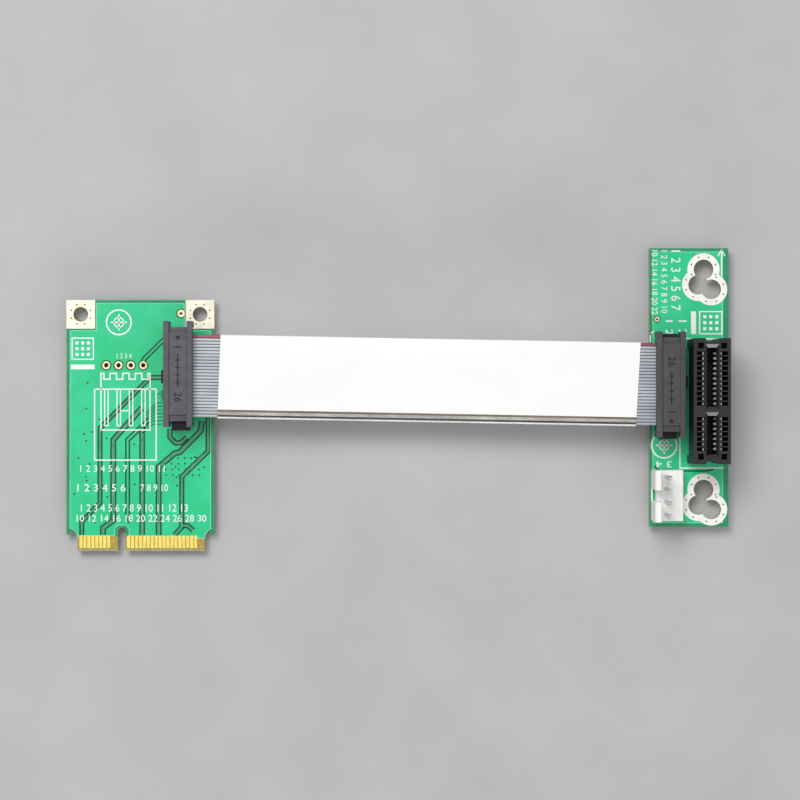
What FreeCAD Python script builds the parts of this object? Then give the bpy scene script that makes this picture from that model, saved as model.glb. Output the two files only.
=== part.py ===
"""A mini card to x1 slot extension: two small boards joined by a short ribbon.

The frame: X runs along the ribbon, from the mini card to the slot board. Y runs
along both boards. Z is up, and Z = 0 is the surface that the solder tails stand on.
The origin is the middle of the bounding box, at its bottom. Lengths are millimetres.
"""
import FreeCAD, Part
import math
import os
import re
import Sketcher

# ---------------------------------------------------------------- driving sizes
SIZES = {
    # how the two boards lie
    "board_standoff": 1.4,       # length of the solder tails under both boards
    "board_spacing_x": 111.2,    # middle of the card to middle of the slot board
    "board_shift_y": 7.75,
    "copper_thickness": 0.05,
    # mini card board
    "card_width": 30.0,
    "card_length": 50.95,
    "card_thickness": 1.0,
    "card_hole_diameter": 3.0,
    "card_hole_spacing": 24.2,
    "card_hole_inset": 2.9,      # from the far edge of the card
    "card_pad_side": 5.8,
    "tongue_left": 2.25,         # card side to the edge connector tongue
    "tongue_right": 1.95,
    "tongue_length": 3.3,
    "tongue_bevel": 0.25,
    "tongue_relief": 0.8,        # radius of the round relief beside the tongue
    "key_left": 10.47,           # card side to the key notch
    "key_width": 1.53,
    "key_depth": 4.76,
    # edge contacts
    "finger_pitch": 0.8,
    "finger_width": 0.62,
    "finger_length": 2.55,
    "finger_inset": 0.6,         # from the tip of the tongue
    "finger_first": 2.95,        # card side to the first finger of each group
    "finger_second": 12.6,
    "fingers_before_key": 8,
    "fingers_after_key": 18,
    # the empty connector place on the card
    "spare_hole_diameter": 0.9,
    "spare_pitch": 2.5,
    "spare_holes": 4,
    "spare_x": -6.94,
    "spare_y": 12.24,
    # 1.27 mm pin headers under both ribbon sockets
    "pin_pitch": 1.27,
    "pins_per_row": 13,
    "pin_side": 0.4,
    "pin_hole_side": 0.55,
    "pin_reach": 2.6,            # above the header base
    "pin_slack": 0.01,
    "header_width": 3.6,
    "header_length": 20.3,
    "header_height": 1.9,
    "card_header_shift": 1.2,    # how far the base lies off the middle pin
    "slot_header_shift": 0.8,
    "card_header_x": 8.33,
    "card_header_y": 10.37,
    "slot_header_x": -4.46,
    "slot_header_y": 0.52,
    # ribbon sockets
    "socket_width": 5.2,
    "socket_length": 18.6,
    "socket_height": 3.6,
    "socket_tab_width": 3.1,
    "socket_tab_reach": 0.9,
    "socket_key_width": 2.7,
    "socket_key_reach": 1.0,
    "socket_key_shift": 0.5,     # from the socket's middle towards its tab
    "cavity_width": 0.7,
    "cavity_depth": 3.0,
    "cover_width": 5.8,
    "cover_length": 21.2,
    "cover_height": 2.2,
    "cover_rail_width": 1.15,
    "cover_ear_length": 1.2,
    "cover_ear_drop": 2.2,       # below the underside of the cover
    "cover_panel_drop": 0.2,     # the middle panel below the rails
    "cover_step_length": 1.2,
    "cover_step_drop": 0.6,
    "cover_slack": 0.02,         # ribbon to cover and ribbon to socket
    # ribbon and its wrap
    "wire_pitch": 0.635,
    "wire_count": 26,
    "ribbon_thickness": 0.65,
    "ribbon_sag": 1.5,
    "ribbon_lead": 20.0,         # run from a socket's middle to the first bend
    "ribbon_bend_share": 0.45,   # of the shorter run beside a bend that the bend takes
    "foil_start": 8.6,           # card socket's middle to the wrap
    "foil_end": 6.4,             # wrap to the slot board socket's middle
    "foil_thickness": 0.08,
    "foil_slack": 0.03,
    "foil_margin": 0.25,         # past the ribbon's edge
    "film_thickness": 0.06,
    "film_short": 1.4,           # how far the top film stops short of the wrap's edge
    # slot board
    "slot_board_width": 16.0,
    "slot_board_length": 56.4,
    "slot_board_thickness": 1.6,
    "screw_lobe_diameter": 3.96,
    "screw_x": 2.97,
    "screw_y": 1.6,              # middle of the two screw holes' first lobes
    "screw_spacing": 44.6,
    "lobe_left_x": 1.08,         # the two other rounds of a hole, from the first one
    "lobe_left_y": 3.13,
    "lobe_right_x": 1.55,
    "lobe_right_y": 4.03,
    # x1 slot housing
    "slot_x": 3.3,
    "slot_y": -2.8,
    "slot_width": 7.3,
    "slot_length": 25.0,
    "slot_height": 11.25,
    "slot_foot_height": 0.7,     # open gap under the housing between its feet
    "slot_foot_length": 1.6,
    "slot_recess": 0.3,
    "slot_lip": 0.8,
    "mouth_width": 1.76,
    "mouth_depth": 7.6,
    "mouth_lead": 0.42,          # how much wider the lead-in is, each side
    "mouth_lead_depth": 0.55,
    "mouth_end_lead": 0.7,
    "key_bridge": 1.8,
    "end_wall": 1.9,
    "end_notch_width": 2.8,
    "end_notch_taper": 0.3,
    "end_notch_depth": 0.55,
    "end_pocket_side": 1.2,
    "end_pocket_depth": 3.0,
    "end_pocket_inset": 0.9,
    "peg_diameter": 1.7,
    "peg_inset": 1.3,
    "peg_slack": 0.1,
    # contacts of the slot
    "contact_pitch": 1.0,
    "contacts_before_key": 11,
    "contacts_after_key": 7,
    "contact_key_steps": 3,      # pitches across the key
    "contact_width": 0.5,
    "contact_thickness": 0.2,
    "contact_slack": 0.02,
    "cell_width": 0.8,
    "cell_inner": 1.5,           # slot middle to the window in the top face
    "cell_outer": 3.1,
    "cell_bar": 1.2,             # depth of the bar beside the mouth
    "cell_floor": 2.5,
    "contact_stem": 2.3,
    "contact_jog_margin": 0.105, # the jog's ends to the board and to the housing
    "contact_straight": 1.0,     # straight run above the cell's floor
    "contact_row_near": 1.25,
    "contact_row_far": 3.05,
    "contact_reach": 0.72,       # slot middle to the contact's bulge
    "contact_bulge": 8.1,        # height of the bulge above the board
    "contact_tip": 1.7,
    "contact_tip_height": 10.6,
    "contact_hole_side": 0.64,
    # 4 way power header
    "power_x": -4.6,
    "power_y": -21.8,
    "power_width": 6.2,
    "power_base_height": 3.2,
    "power_pitch": 2.54,
    "power_pins": 4,
    "power_end": 0.07,           # base past the last pitch, each end
    "power_pin_side": 0.64,
    "power_pin_x": -0.3,
    "power_pin_height": 11.0,
    "power_pin_taper": 0.5,
    "power_hole_diameter": 1.0,
    "power_wall": 1.25,
    "power_wall_height": 8.5,
    "power_wall_chamfer": 0.38,
    "power_gap_width": 2.4,      # gap in the middle of the wall, and notch below it
    "power_notch_depth": 0.83,
    "power_rim_width": 0.36,     # low rim that closes the notch at the board
    "power_rim_height": 0.6,
}

doc = FreeCAD.newDocument("MiniCardExtension")
sheet = doc.addObject("Spreadsheet::Sheet", "Sizes")
for row_number, (alias, number) in enumerate(SIZES.items(), start=1):
    sheet.set(f"A{row_number}", alias)
    sheet.set(f"B{row_number}", str(number))
    sheet.setAlias(f"B{row_number}", alias)
doc.recompute()


# ---------------------------------------------------------------- small helpers
def bound(text):
    """Return the text with each size's name pointed at its cell of the sheet."""
    def cell(match):
        word = match.group()
        return f"Sizes.{word}" if word in SIZES else word
    return re.sub(r"[a-z][a-z0-9_]*", cell, text)


def value(text):
    """Work out an expression in the sizes."""
    return float(sheet.evalExpression(bound(text)))


# places that more than one piece uses
LENGTH = "(card_width / 2 + board_spacing_x + slot_board_width / 2)"
CARD_X = f"(card_width / 2 - {LENGTH} / 2)"
CARD_Y = "((card_length / 2 - board_shift_y - slot_board_length / 2) / 2)"
SLOT_BOARD_X = f"({CARD_X} + board_spacing_x)"
SLOT_BOARD_Y = f"({CARD_Y} + board_shift_y)"
CARD_TOP = "(board_standoff + card_thickness)"
SLOT_BOARD_TOP = "(board_standoff + slot_board_thickness)"
SOCKET_TOP = "(header_height + socket_height)"
COVER_SEAT = f"({SOCKET_TOP} + ribbon_thickness + 2 * cover_slack)"
GRID = "(contacts_before_key - 1 + contact_key_steps + contacts_after_key - 1)"
FIRST_CONTACT = f"({GRID} / 2 * contact_pitch)"
PIN_GRID_Y = "((pins_per_row - 1) / 2 * pin_pitch)"


def place(item, x, y, z="0", turn="0"):
    """Tie an object's place in the shared frame to the sheet."""
    item.setExpression(".Placement.Base.x", bound(x))
    item.setExpression(".Placement.Base.y", bound(y))
    item.setExpression(".Placement.Base.z", bound(z))
    item.setExpression(".Placement.Rotation.Angle", bound(turn))


def new_body(name, x, y, z, turn="0"):
    """Start a sub-part; a row of separate pins is one body of several solids."""
    body = doc.addObject("PartDesign::Body", name)
    body.Label = name
    body.AllowCompound = True
    place(body, x, y, z, turn)
    return body


def origin_item(body, role):
    return next(item for item in body.Origin.OriginFeatures if item.Role == role)


def new_sketch(body, name, plane="XY_Plane", height="0"):
    sketch = body.newObject("Sketcher::SketchObject", name)
    sketch.AttachmentSupport = [(origin_item(body, plane), "")]
    sketch.MapMode = "FlatFace"
    sketch.setExpression("AttachmentOffset.Base.z", bound(height))
    return sketch


def fix_point(sketch, geometry, point, x, y):
    """Hold one point of a sketch at a place worked out from the sizes."""
    for kind, text in (("DistanceX", x), ("DistanceY", y)):
        number = sketch.addConstraint(
            Sketcher.Constraint(kind, -1, 1, geometry, point, value(text)))
        sketch.setExpression(f"Constraints[{number}]", bound(text))


def polygon(sketch, corners):
    """Draw a closed outline through corners given as pairs of expressions."""
    first = sketch.GeometryCount
    spots = [FreeCAD.Vector(value(x), value(y), 0) for x, y in corners]
    count = len(corners)
    for i, spot in enumerate(spots):
        sketch.addGeometry(Part.LineSegment(spot, spots[(i + 1) % count]), False)
    for i in range(count):
        follower = first + (i + 1) % count
        sketch.addConstraint(Sketcher.Constraint("Coincident", first + i, 2, follower, 1))
    for i, (x, y) in enumerate(corners):
        fix_point(sketch, first + i, 1, x, y)


def rectangle(sketch, x, y, width, length):
    """Draw a rectangle about its middle."""
    left = f"{x} - ({width}) / 2"
    right = f"{x} + ({width}) / 2"
    low = f"{y} - ({length}) / 2"
    high = f"{y} + ({length}) / 2"
    polygon(sketch, [(left, low), (right, low), (right, high), (left, high)])


def circle(sketch, x, y, diameter):
    spot = FreeCAD.Vector(value(x), value(y), 0)
    shape = Part.Circle(spot, FreeCAD.Vector(0, 0, 1), value(diameter) / 2)
    geometry = sketch.addGeometry(shape, False)
    fix_point(sketch, geometry, 3, x, y)
    number = sketch.addConstraint(
        Sketcher.Constraint("Diameter", geometry, value(diameter)))
    sketch.setExpression(f"Constraints[{number}]", bound(diameter))


def extrude(body, kind, profile, length, symmetric, backward):
    feature = body.newObject(f"PartDesign::{kind}", f"{profile.Name}_{kind}")
    feature.Profile = profile
    feature.setExpression("Length", bound(length))
    if symmetric:
        feature.SideType = "Symmetric"
    feature.Reversed = backward
    return feature


def pad(body, profile, length, symmetric=False):
    """Raise a sketch into a solid, along its plane's own direction."""
    return extrude(body, "Pad", profile, length, symmetric, False)


def cut_up(body, profile, length):
    """Cut from a flat sketch upwards."""
    return extrude(body, "Pocket", profile, length, False, True)


def cut_across(body, profile, length):
    """Cut both ways from an upright sketch through the body's middle."""
    return extrude(body, "Pocket", profile, length, True, False)


def loft_cut(body, wide, narrow):
    feature = body.newObject("PartDesign::SubtractiveLoft", f"{wide.Name}_Loft")
    feature.Profile = wide
    feature.Sections = [narrow]
    feature.Ruled = True
    return feature


def row(body, features, axis, pitch, count, backward=False):
    """Repeat features along one axis of the body."""
    pattern = body.newObject("PartDesign::LinearPattern", f"{features[0].Name}_Row")
    pattern.Originals = features
    pattern.Direction = (origin_item(body, axis), [""])
    pattern.Reversed = backward
    pattern.Mode = "Spacing"
    pattern.setExpression("Offset", bound(pitch))
    pattern.setExpression("Occurrences", bound(count))
    body.Tip = pattern
    return pattern


def pin_rows(body, features):
    """Repeat a pair of pins, or what takes them, over the header's length."""
    return row(body, features, "Y_Axis", "pin_pitch", "pins_per_row")


def cylinder(name, x, y, z, diameter, height):
    item = doc.addObject("Part::Cylinder", name)
    item.setExpression("Radius", bound(f"({diameter}) / 2"))
    item.setExpression("Height", bound(height))
    place(item, x, y, z)
    return item


def fuse(name, items):
    item = doc.addObject("Part::MultiFuse", name)
    item.Shapes = items
    item.Refine = True
    return item


def cut(name, base, tool):
    item = doc.addObject("Part::Cut", name)
    item.Base = base
    item.Tool = tool
    item.Refine = True
    return item


def plated(name, board, blanks, bores):
    """Plated holes: blanks through the board, less the board and less the bores.

    What is left of each blank is its pad on both faces and the thin barrel
    that lines the hole between them.
    """
    pads = cut(f"{name}_faces", fuse(f"{name}_blanks", blanks), board)
    item = cut(name, pads, fuse(f"{name}_bores", bores))
    item.Label = name
    return item


# ---------------------------------------------------------------- mini card
def mini_card_board():
    """The green card: a plain body, a bevelled tongue with its key, and holes."""
    body = new_body("mini_card_board", CARD_X, CARD_Y, "board_standoff")
    low = "-card_length / 2 + tongue_length"
    high = "card_length / 2"
    left = "-card_width / 2"
    right = "card_width / 2"
    tip = "-card_length / 2"
    tongue_left = f"{left} + tongue_left"
    tongue_right = f"{right} - tongue_right"
    outline = new_sketch(body, "card_outline")
    polygon(outline, [
        (left, high), (left, low), (tongue_left, low), (tongue_left, tip),
        (tongue_right, tip), (tongue_right, low), (right, low), (right, high)])
    pad(body, outline, "card_thickness")

    bevel = new_sketch(body, "card_bevel", "YZ_Plane")
    top = "card_thickness"
    run = f"{tip} + 2 * tongue_bevel"
    polygon(bevel, [(tip, "0"), (run, "0"), (tip, "tongue_bevel")])
    polygon(bevel, [(tip, top), (tip, f"{top} - tongue_bevel"), (run, top)])
    cut_across(body, bevel, "2 * card_width")

    relief = new_sketch(body, "card_reliefs")
    circle(relief, f"{tongue_left} - tongue_relief", low, "2 * tongue_relief")
    circle(relief, f"{tongue_right} + tongue_relief", low, "2 * tongue_relief")
    cut_up(body, relief, "card_thickness")

    key_middle = f"{left} + key_left + key_width / 2"
    key_end = f"{tip} + key_depth - key_width / 2"
    key = new_sketch(body, "card_key")
    rectangle(key, key_middle, f"({tip} + {key_end}) / 2", "key_width",
              "key_depth - key_width / 2")
    cut_up(body, key, "card_thickness")
    key_round = new_sketch(body, "card_key_round")
    circle(key_round, key_middle, key_end, "key_width")
    cut_up(body, key_round, "card_thickness")

    holes = new_sketch(body, "card_holes")
    bore = "card_hole_diameter + 2 * copper_thickness"
    hole_y = "card_length / 2 - card_hole_inset"
    circle(holes, "-card_hole_spacing / 2", hole_y, bore)
    circle(holes, "card_hole_spacing / 2", hole_y, bore)
    cut_up(body, holes, "card_thickness")

    spare = new_sketch(body, "card_spare_hole")
    circle(spare, "spare_x", "spare_y", "spare_hole_diameter")
    spare_cut = cut_up(body, spare, "card_thickness")
    row(body, [spare_cut], "X_Axis", "spare_pitch", "spare_holes")

    drill_pin_holes(body, "card_pin_hole", "card_header_x", "card_header_y",
                    "card_thickness")
    return body


def drill_pin_holes(body, name, x, y, thickness):
    """Two rows of holes for a header's pins.

    The solder hides these holes, so they are square, which keeps the model light.
    """
    holes = new_sketch(body, name)
    for sign in ("-", "+"):
        rectangle(holes, f"{x} {sign} pin_pitch / 2", f"{y} - {PIN_GRID_Y}",
                  "pin_hole_side", "pin_hole_side")
    pin_rows(body, [cut_up(body, holes, thickness)])


def card_screw_pads(board):
    """Two square plated pads in the far corners, each with a screw hole."""
    blanks = []
    bores = []
    bottom = "board_standoff - copper_thickness"
    height = "card_thickness + 2 * copper_thickness"
    hole_y = f"{CARD_Y} + card_length / 2 - card_hole_inset"
    for side, sign in (("left", "-"), ("right", "+")):
        hole_x = f"{CARD_X} {sign} card_hole_spacing / 2"
        blank = doc.addObject("Part::Box", f"card_pad_{side}")
        blank.setExpression("Length", bound("card_pad_side"))
        blank.setExpression("Width", bound("card_pad_side"))
        blank.setExpression("Height", bound(height))
        place(blank, f"{hole_x} - card_pad_side / 2", f"{hole_y} - card_pad_side / 2",
              bottom)
        blanks.append(blank)
        bores.append(cylinder(f"card_bore_{side}", hole_x, hole_y, bottom,
                              "card_hole_diameter", height))
    return plated("card_screw_pads", board, blanks, bores)


def edge_contacts(name, height):
    """One face's gold fingers: a short row and a long row beside the key."""
    body = new_body(name, CARD_X, CARD_Y, height)
    middle_y = "-card_length / 2 + finger_inset + finger_length / 2"
    groups = (("short", "finger_first", "fingers_before_key"),
              ("long", "finger_second", "fingers_after_key"))
    for group, start, count in groups:
        finger = new_sketch(body, f"{name}_{group}")
        rectangle(finger, f"-card_width / 2 + {start}", middle_y, "finger_width",
                  "finger_length")
        row(body, [pad(body, finger, "copper_thickness")], "X_Axis", "finger_pitch",
            count)
    return body


# ---------------------------------------------------------------- ribbon sockets
def pin_pair(sketch, side):
    """Two squares at the near end of the header, one for each row of pins."""
    for sign in ("-", ""):
        rectangle(sketch, f"{sign}pin_pitch / 2", f"-{PIN_GRID_Y}", side, side)


def pin_header(name, x, y, board_top, shift):
    """The header's black base and its two rows of square pins, as two sub-parts."""
    base = new_body(f"{name}_base", x, y, board_top)
    outline = new_sketch(base, f"{name}_outline")
    rectangle(outline, "0", f"-{shift}", "header_width", "header_length")
    pad(base, outline, "header_height")
    holes = new_sketch(base, f"{name}_holes")
    pin_pair(holes, "pin_side + 2 * pin_slack")
    pin_rows(base, [cut_up(base, holes, "header_height")])

    pins = new_body(f"{name}_pins", x, y, "0")
    pair = new_sketch(pins, f"{name}_pair")
    pin_pair(pair, "pin_side")
    pin_rows(pins, [pad(pins, pair, f"{board_top} + header_height + pin_reach")])
    return [base, pins]


def ribbon_socket(name, x, y, board_top, turn):
    """The moulded socket with its cavities, tab and key, and the cover on top."""
    socket = new_body(f"{name}_body", x, y, f"{board_top} + header_height", turn)
    outline = new_sketch(socket, f"{name}_outline")
    side = "socket_width / 2"
    end = "socket_length / 2"
    tab = "socket_tab_width / 2"
    far = "socket_length / 2 + socket_tab_reach"
    key_high = "socket_key_width / 2 - socket_key_shift"
    key_low = "-socket_key_width / 2 - socket_key_shift"
    out = "socket_width / 2 + socket_key_reach"
    polygon(outline, [
        (side, f"-{end}"), (side, end), (f"-{side}", end), (f"-{side}", key_high),
        (f"-({out})", key_high), (f"-({out})", key_low), (f"-{side}", key_low),
        (f"-{side}", f"-{end}"), (f"-{tab}", f"-{end}"), (f"-{tab}", f"-({far})"),
        (tab, f"-({far})"), (tab, f"-{end}")])
    pad(socket, outline, "socket_height")
    cavities = new_sketch(socket, f"{name}_cavities")
    for sign in ("-", ""):
        rectangle(cavities, f"{sign}pin_pitch / 2", "0", "cavity_width",
                  f"2 * {PIN_GRID_Y} + cavity_width")
    cut_up(socket, cavities, "cavity_depth")

    cover = new_body(f"{name}_cover", x, y, f"{board_top} + {COVER_SEAT}", turn)
    panel_length = "(cover_length - 2 * cover_ear_length)"
    for part, length, drop in (("step", panel_length, "cover_step_drop"),
                               ("panel", f"({panel_length} - 2 * cover_step_length)",
                                "cover_panel_drop")):
        sketch = new_sketch(cover, f"{name}_{part}")
        rectangle(sketch, "0", "0", "cover_width - 2 * cover_rail_width", length)
        pad(cover, sketch, f"cover_height - {drop}")
    rail_x = "(cover_width - cover_rail_width) / 2"
    ear_y = "(cover_length - cover_ear_length) / 2"
    rails = new_sketch(cover, f"{name}_rails")
    ears = new_sketch(cover, f"{name}_ears", height="-cover_ear_drop")
    for sign in ("-", ""):
        rectangle(rails, f"{sign}{rail_x}", "0", "cover_rail_width", panel_length)
        rectangle(ears, f"{sign}{rail_x}", ear_y, "cover_rail_width", "cover_ear_length")
        rectangle(ears, f"{sign}{rail_x}", f"-{ear_y}", "cover_rail_width",
                  "cover_ear_length")
    pad(cover, rails, "cover_height")
    pad(cover, ears, "cover_height + cover_ear_drop")
    return [socket, cover]


# ---------------------------------------------------------------- ribbon
def ribbon_route():
    """The ribbon's middle line from one socket to the other, as tangent arcs.

    Local X runs from the card's socket to the slot board's socket; local Z is up.
    Between the two sockets the ribbon sags a little under its own weight.
    """
    span = value("board_spacing_x + slot_header_x - card_header_x")
    shift = value("board_shift_y + slot_header_y - card_header_y")
    reach = math.hypot(span, shift)
    start = value(f"{CARD_TOP} + {SOCKET_TOP} + cover_slack + ribbon_thickness / 2")
    finish = value(f"{SLOT_BOARD_TOP} + {SOCKET_TOP} + cover_slack + ribbon_thickness / 2")
    lead = value("ribbon_lead")
    sag = value("ribbon_sag")
    grip = value("cover_width / 2 - cover_slack")
    low = (start + finish) / 2 - sag
    stops = ((-grip, start), (lead, start), (reach / 2, low), (reach - lead, finish),
             (reach + grip, finish))
    points = [FreeCAD.Vector(along, 0, height) for along, height in stops]
    angle = math.degrees(math.atan2(shift, span))
    return points, reach, angle


def rounded_edges(points):
    """Straight runs joined by arcs, each as large as its two runs allow."""
    edges = []
    here = points[0]
    for before, corner, after in zip(points, points[1:], points[2:]):
        into = (corner - before).normalize()
        away = (after - corner).normalize()
        half_turn = into.getAngle(away) / 2
        shorter = min(before.distanceToPoint(corner), corner.distanceToPoint(after))
        trim = value("ribbon_bend_share") * shorter
        radius = trim / math.tan(half_turn)
        print(f"ribbon arc radius {radius:.0f} mm")
        enter = corner - into * trim
        leave = corner + away * trim
        inward = (away - into).normalize()
        middle = corner + inward * (radius / math.cos(half_turn) - radius)
        edges.append(Part.LineSegment(here, enter).toShape())
        edges.append(Part.Arc(enter, middle, leave).toShape())
        here = leave
    edges.append(Part.LineSegment(here, points[-1]).toShape())
    return edges


def stretch(edges, start, finish):
    """The part of the route whose X lies between two places."""
    length = finish - start
    corner = FreeCAD.Vector(start, -length / 2, -length / 2)
    block = Part.makeBox(length, length, length, corner)
    kept = [piece for edge in edges for piece in edge.common(block).Edges]
    return Part.Wire(Part.__sortEdges__(kept))


def swept(name, section, path):
    """Sweep a section, given as (across, up) pairs, square to the path.

    The section's sideways direction stays level all the way.
    """
    start = path.Edges[0].valueAt(path.Edges[0].FirstParameter)
    ahead = path.Edges[0].tangentAt(path.Edges[0].FirstParameter)
    across = FreeCAD.Vector(0, 1, 0)
    up = ahead.cross(across)
    corners = [start + across * a + up * u for a, u in section]
    profile = Part.makePolygon(corners + corners[:1])
    shell = Part.BRepOffsetAPI.MakePipeShell(path)
    shell.setBiNormalMode(across)
    shell.add(profile)
    shell.build()
    shell.makeSolid()
    solid = shell.shape()
    expected = Part.Face(profile).Area * path.Length
    print(f"{name}: volume {solid.Volume:.2f}, section times length {expected:.2f}")
    return solid


def band(name, left, right, low, high, path):
    """A flat band along the path, between two sides and two heights."""
    return swept(name, [(left, low), (right, low), (right, high), (left, high)], path)


def ribbon():
    """The flat ribbon, its marked edge wire, the foil wrap and the two films.

    The ribbon is a plain band here; its ribs are a matter of its finish.
    """
    points, reach, angle = ribbon_route()
    edges = rounded_edges(points)
    whole = Part.Wire(edges)
    wrapped = stretch(edges, value("foil_start"), reach - value("foil_end"))
    side = value("wire_count * wire_pitch / 2")
    split = side - value("wire_pitch")
    face = value("ribbon_thickness / 2")
    solids = {
        "ribbon_wires": band("ribbon_wires", -side, split, -face, face, whole),
        "ribbon_marked_wire": band("ribbon_marked_wire", split, side, -face, face, whole),
    }

    foil = value("foil_thickness")
    film = value("film_thickness")
    inner = face + value("foil_slack")
    outer = inner + foil
    edge = side + value("foil_margin")
    outside = band("foil outside", -edge, edge, -outer, outer, wrapped)
    inside = band("foil inside", foil - edge, edge - foil, -inner, inner, wrapped)
    solids["ribbon_foil_wrap"] = outside.cut(inside)
    solids["ribbon_film_top"] = band(
        "ribbon_film_top", value("film_short") - edge, edge, outer, outer + film, wrapped)
    solids["ribbon_film_bottom"] = band(
        "ribbon_film_bottom", -edge, edge, -outer - film, -outer, wrapped)

    base = FreeCAD.Vector(value(f"{CARD_X} + card_header_x"),
                          value(f"{CARD_Y} + card_header_y"), 0)
    turn = FreeCAD.Rotation(FreeCAD.Vector(0, 0, 1), angle)
    items = []
    for name, solid in solids.items():
        item = doc.addObject("Part::Feature", name)
        item.Label = name
        item.Shape = solid
        item.Placement = FreeCAD.Placement(base, turn)
        items.append(item)
    return items


# ---------------------------------------------------------------- slot board
# each screw hole is three overlapping rounds, placed from the first one
LOBES = {"first": ("", ""), "left": ("- lobe_left_x", "- lobe_left_y"),
         "right": ("+ lobe_right_x", "- lobe_right_y")}


def slot_board():
    """The long narrow board, its two clover screw holes and its drilled holes."""
    body = new_body("slot_board", SLOT_BOARD_X, SLOT_BOARD_Y, "board_standoff")
    outline = new_sketch(body, "slot_board_outline")
    rectangle(outline, "0", "0", "slot_board_width", "slot_board_length")
    pad(body, outline, "slot_board_thickness")
    for lobe, (dx, dy) in LOBES.items():
        sketch = new_sketch(body, f"screw_hole_{lobe}")
        for sign in ("+", "-"):
            circle(sketch, f"screw_x {dx}", f"screw_y {sign} screw_spacing / 2 {dy}",
                   "screw_lobe_diameter")
        cut_up(body, sketch, "slot_board_thickness")

    pegs = new_sketch(body, "peg_holes")
    for sign in ("+", "-"):
        circle(pegs, "slot_x", f"slot_y {sign} (slot_length / 2 - peg_inset)",
               "peg_diameter + 2 * peg_slack")
    cut_up(body, pegs, "slot_board_thickness")

    power = new_sketch(body, "power_hole")
    circle(power, "power_x + power_pin_x",
           "power_y - (power_pins - 1) / 2 * power_pitch", "power_hole_diameter")
    row(body, [cut_up(body, power, "slot_board_thickness")], "Y_Axis", "power_pitch",
        "power_pins")

    drill_pin_holes(body, "slot_pin_hole", "slot_header_x", "slot_header_y",
                    "slot_board_thickness")
    for side, sign in (("a", "-"), ("b", "+")):
        for row_name, offset, groups in CONTACT_ROWS:
            for number, (start, count) in enumerate(groups):
                hole = new_sketch(body, f"contact_hole_{side}_{row_name}_{number}")
                rectangle(hole, f"slot_x {sign} {offset}",
                          f"slot_y + {FIRST_CONTACT} - {start} * contact_pitch",
                          "contact_hole_side", "contact_hole_side")
                row(body, [cut_up(body, hole, "slot_board_thickness")], "Y_Axis",
                    "2 * contact_pitch", count, backward=True)
    return body


# ---------------------------------------------------------------- x1 slot
# The tails leave in four staggered rows. Each row name has its distance from the
# slot's middle, and its two groups: first place on the contact grid, and how many.
AFTER_KEY = "(contacts_before_key - 1 + contact_key_steps)"
CONTACT_ROWS = (
    ("near", "contact_row_near", (("0", "ceil(contacts_before_key / 2)"),
                                  (f"({AFTER_KEY} + 1)", "floor(contacts_after_key / 2)"))),
    ("far", "contact_row_far", (("1", "floor(contacts_before_key / 2)"),
                                (AFTER_KEY, "ceil(contacts_after_key / 2)"))),
)


def mirrored(points):
    return [(f"-({x})", z) for x, z in points]


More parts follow.
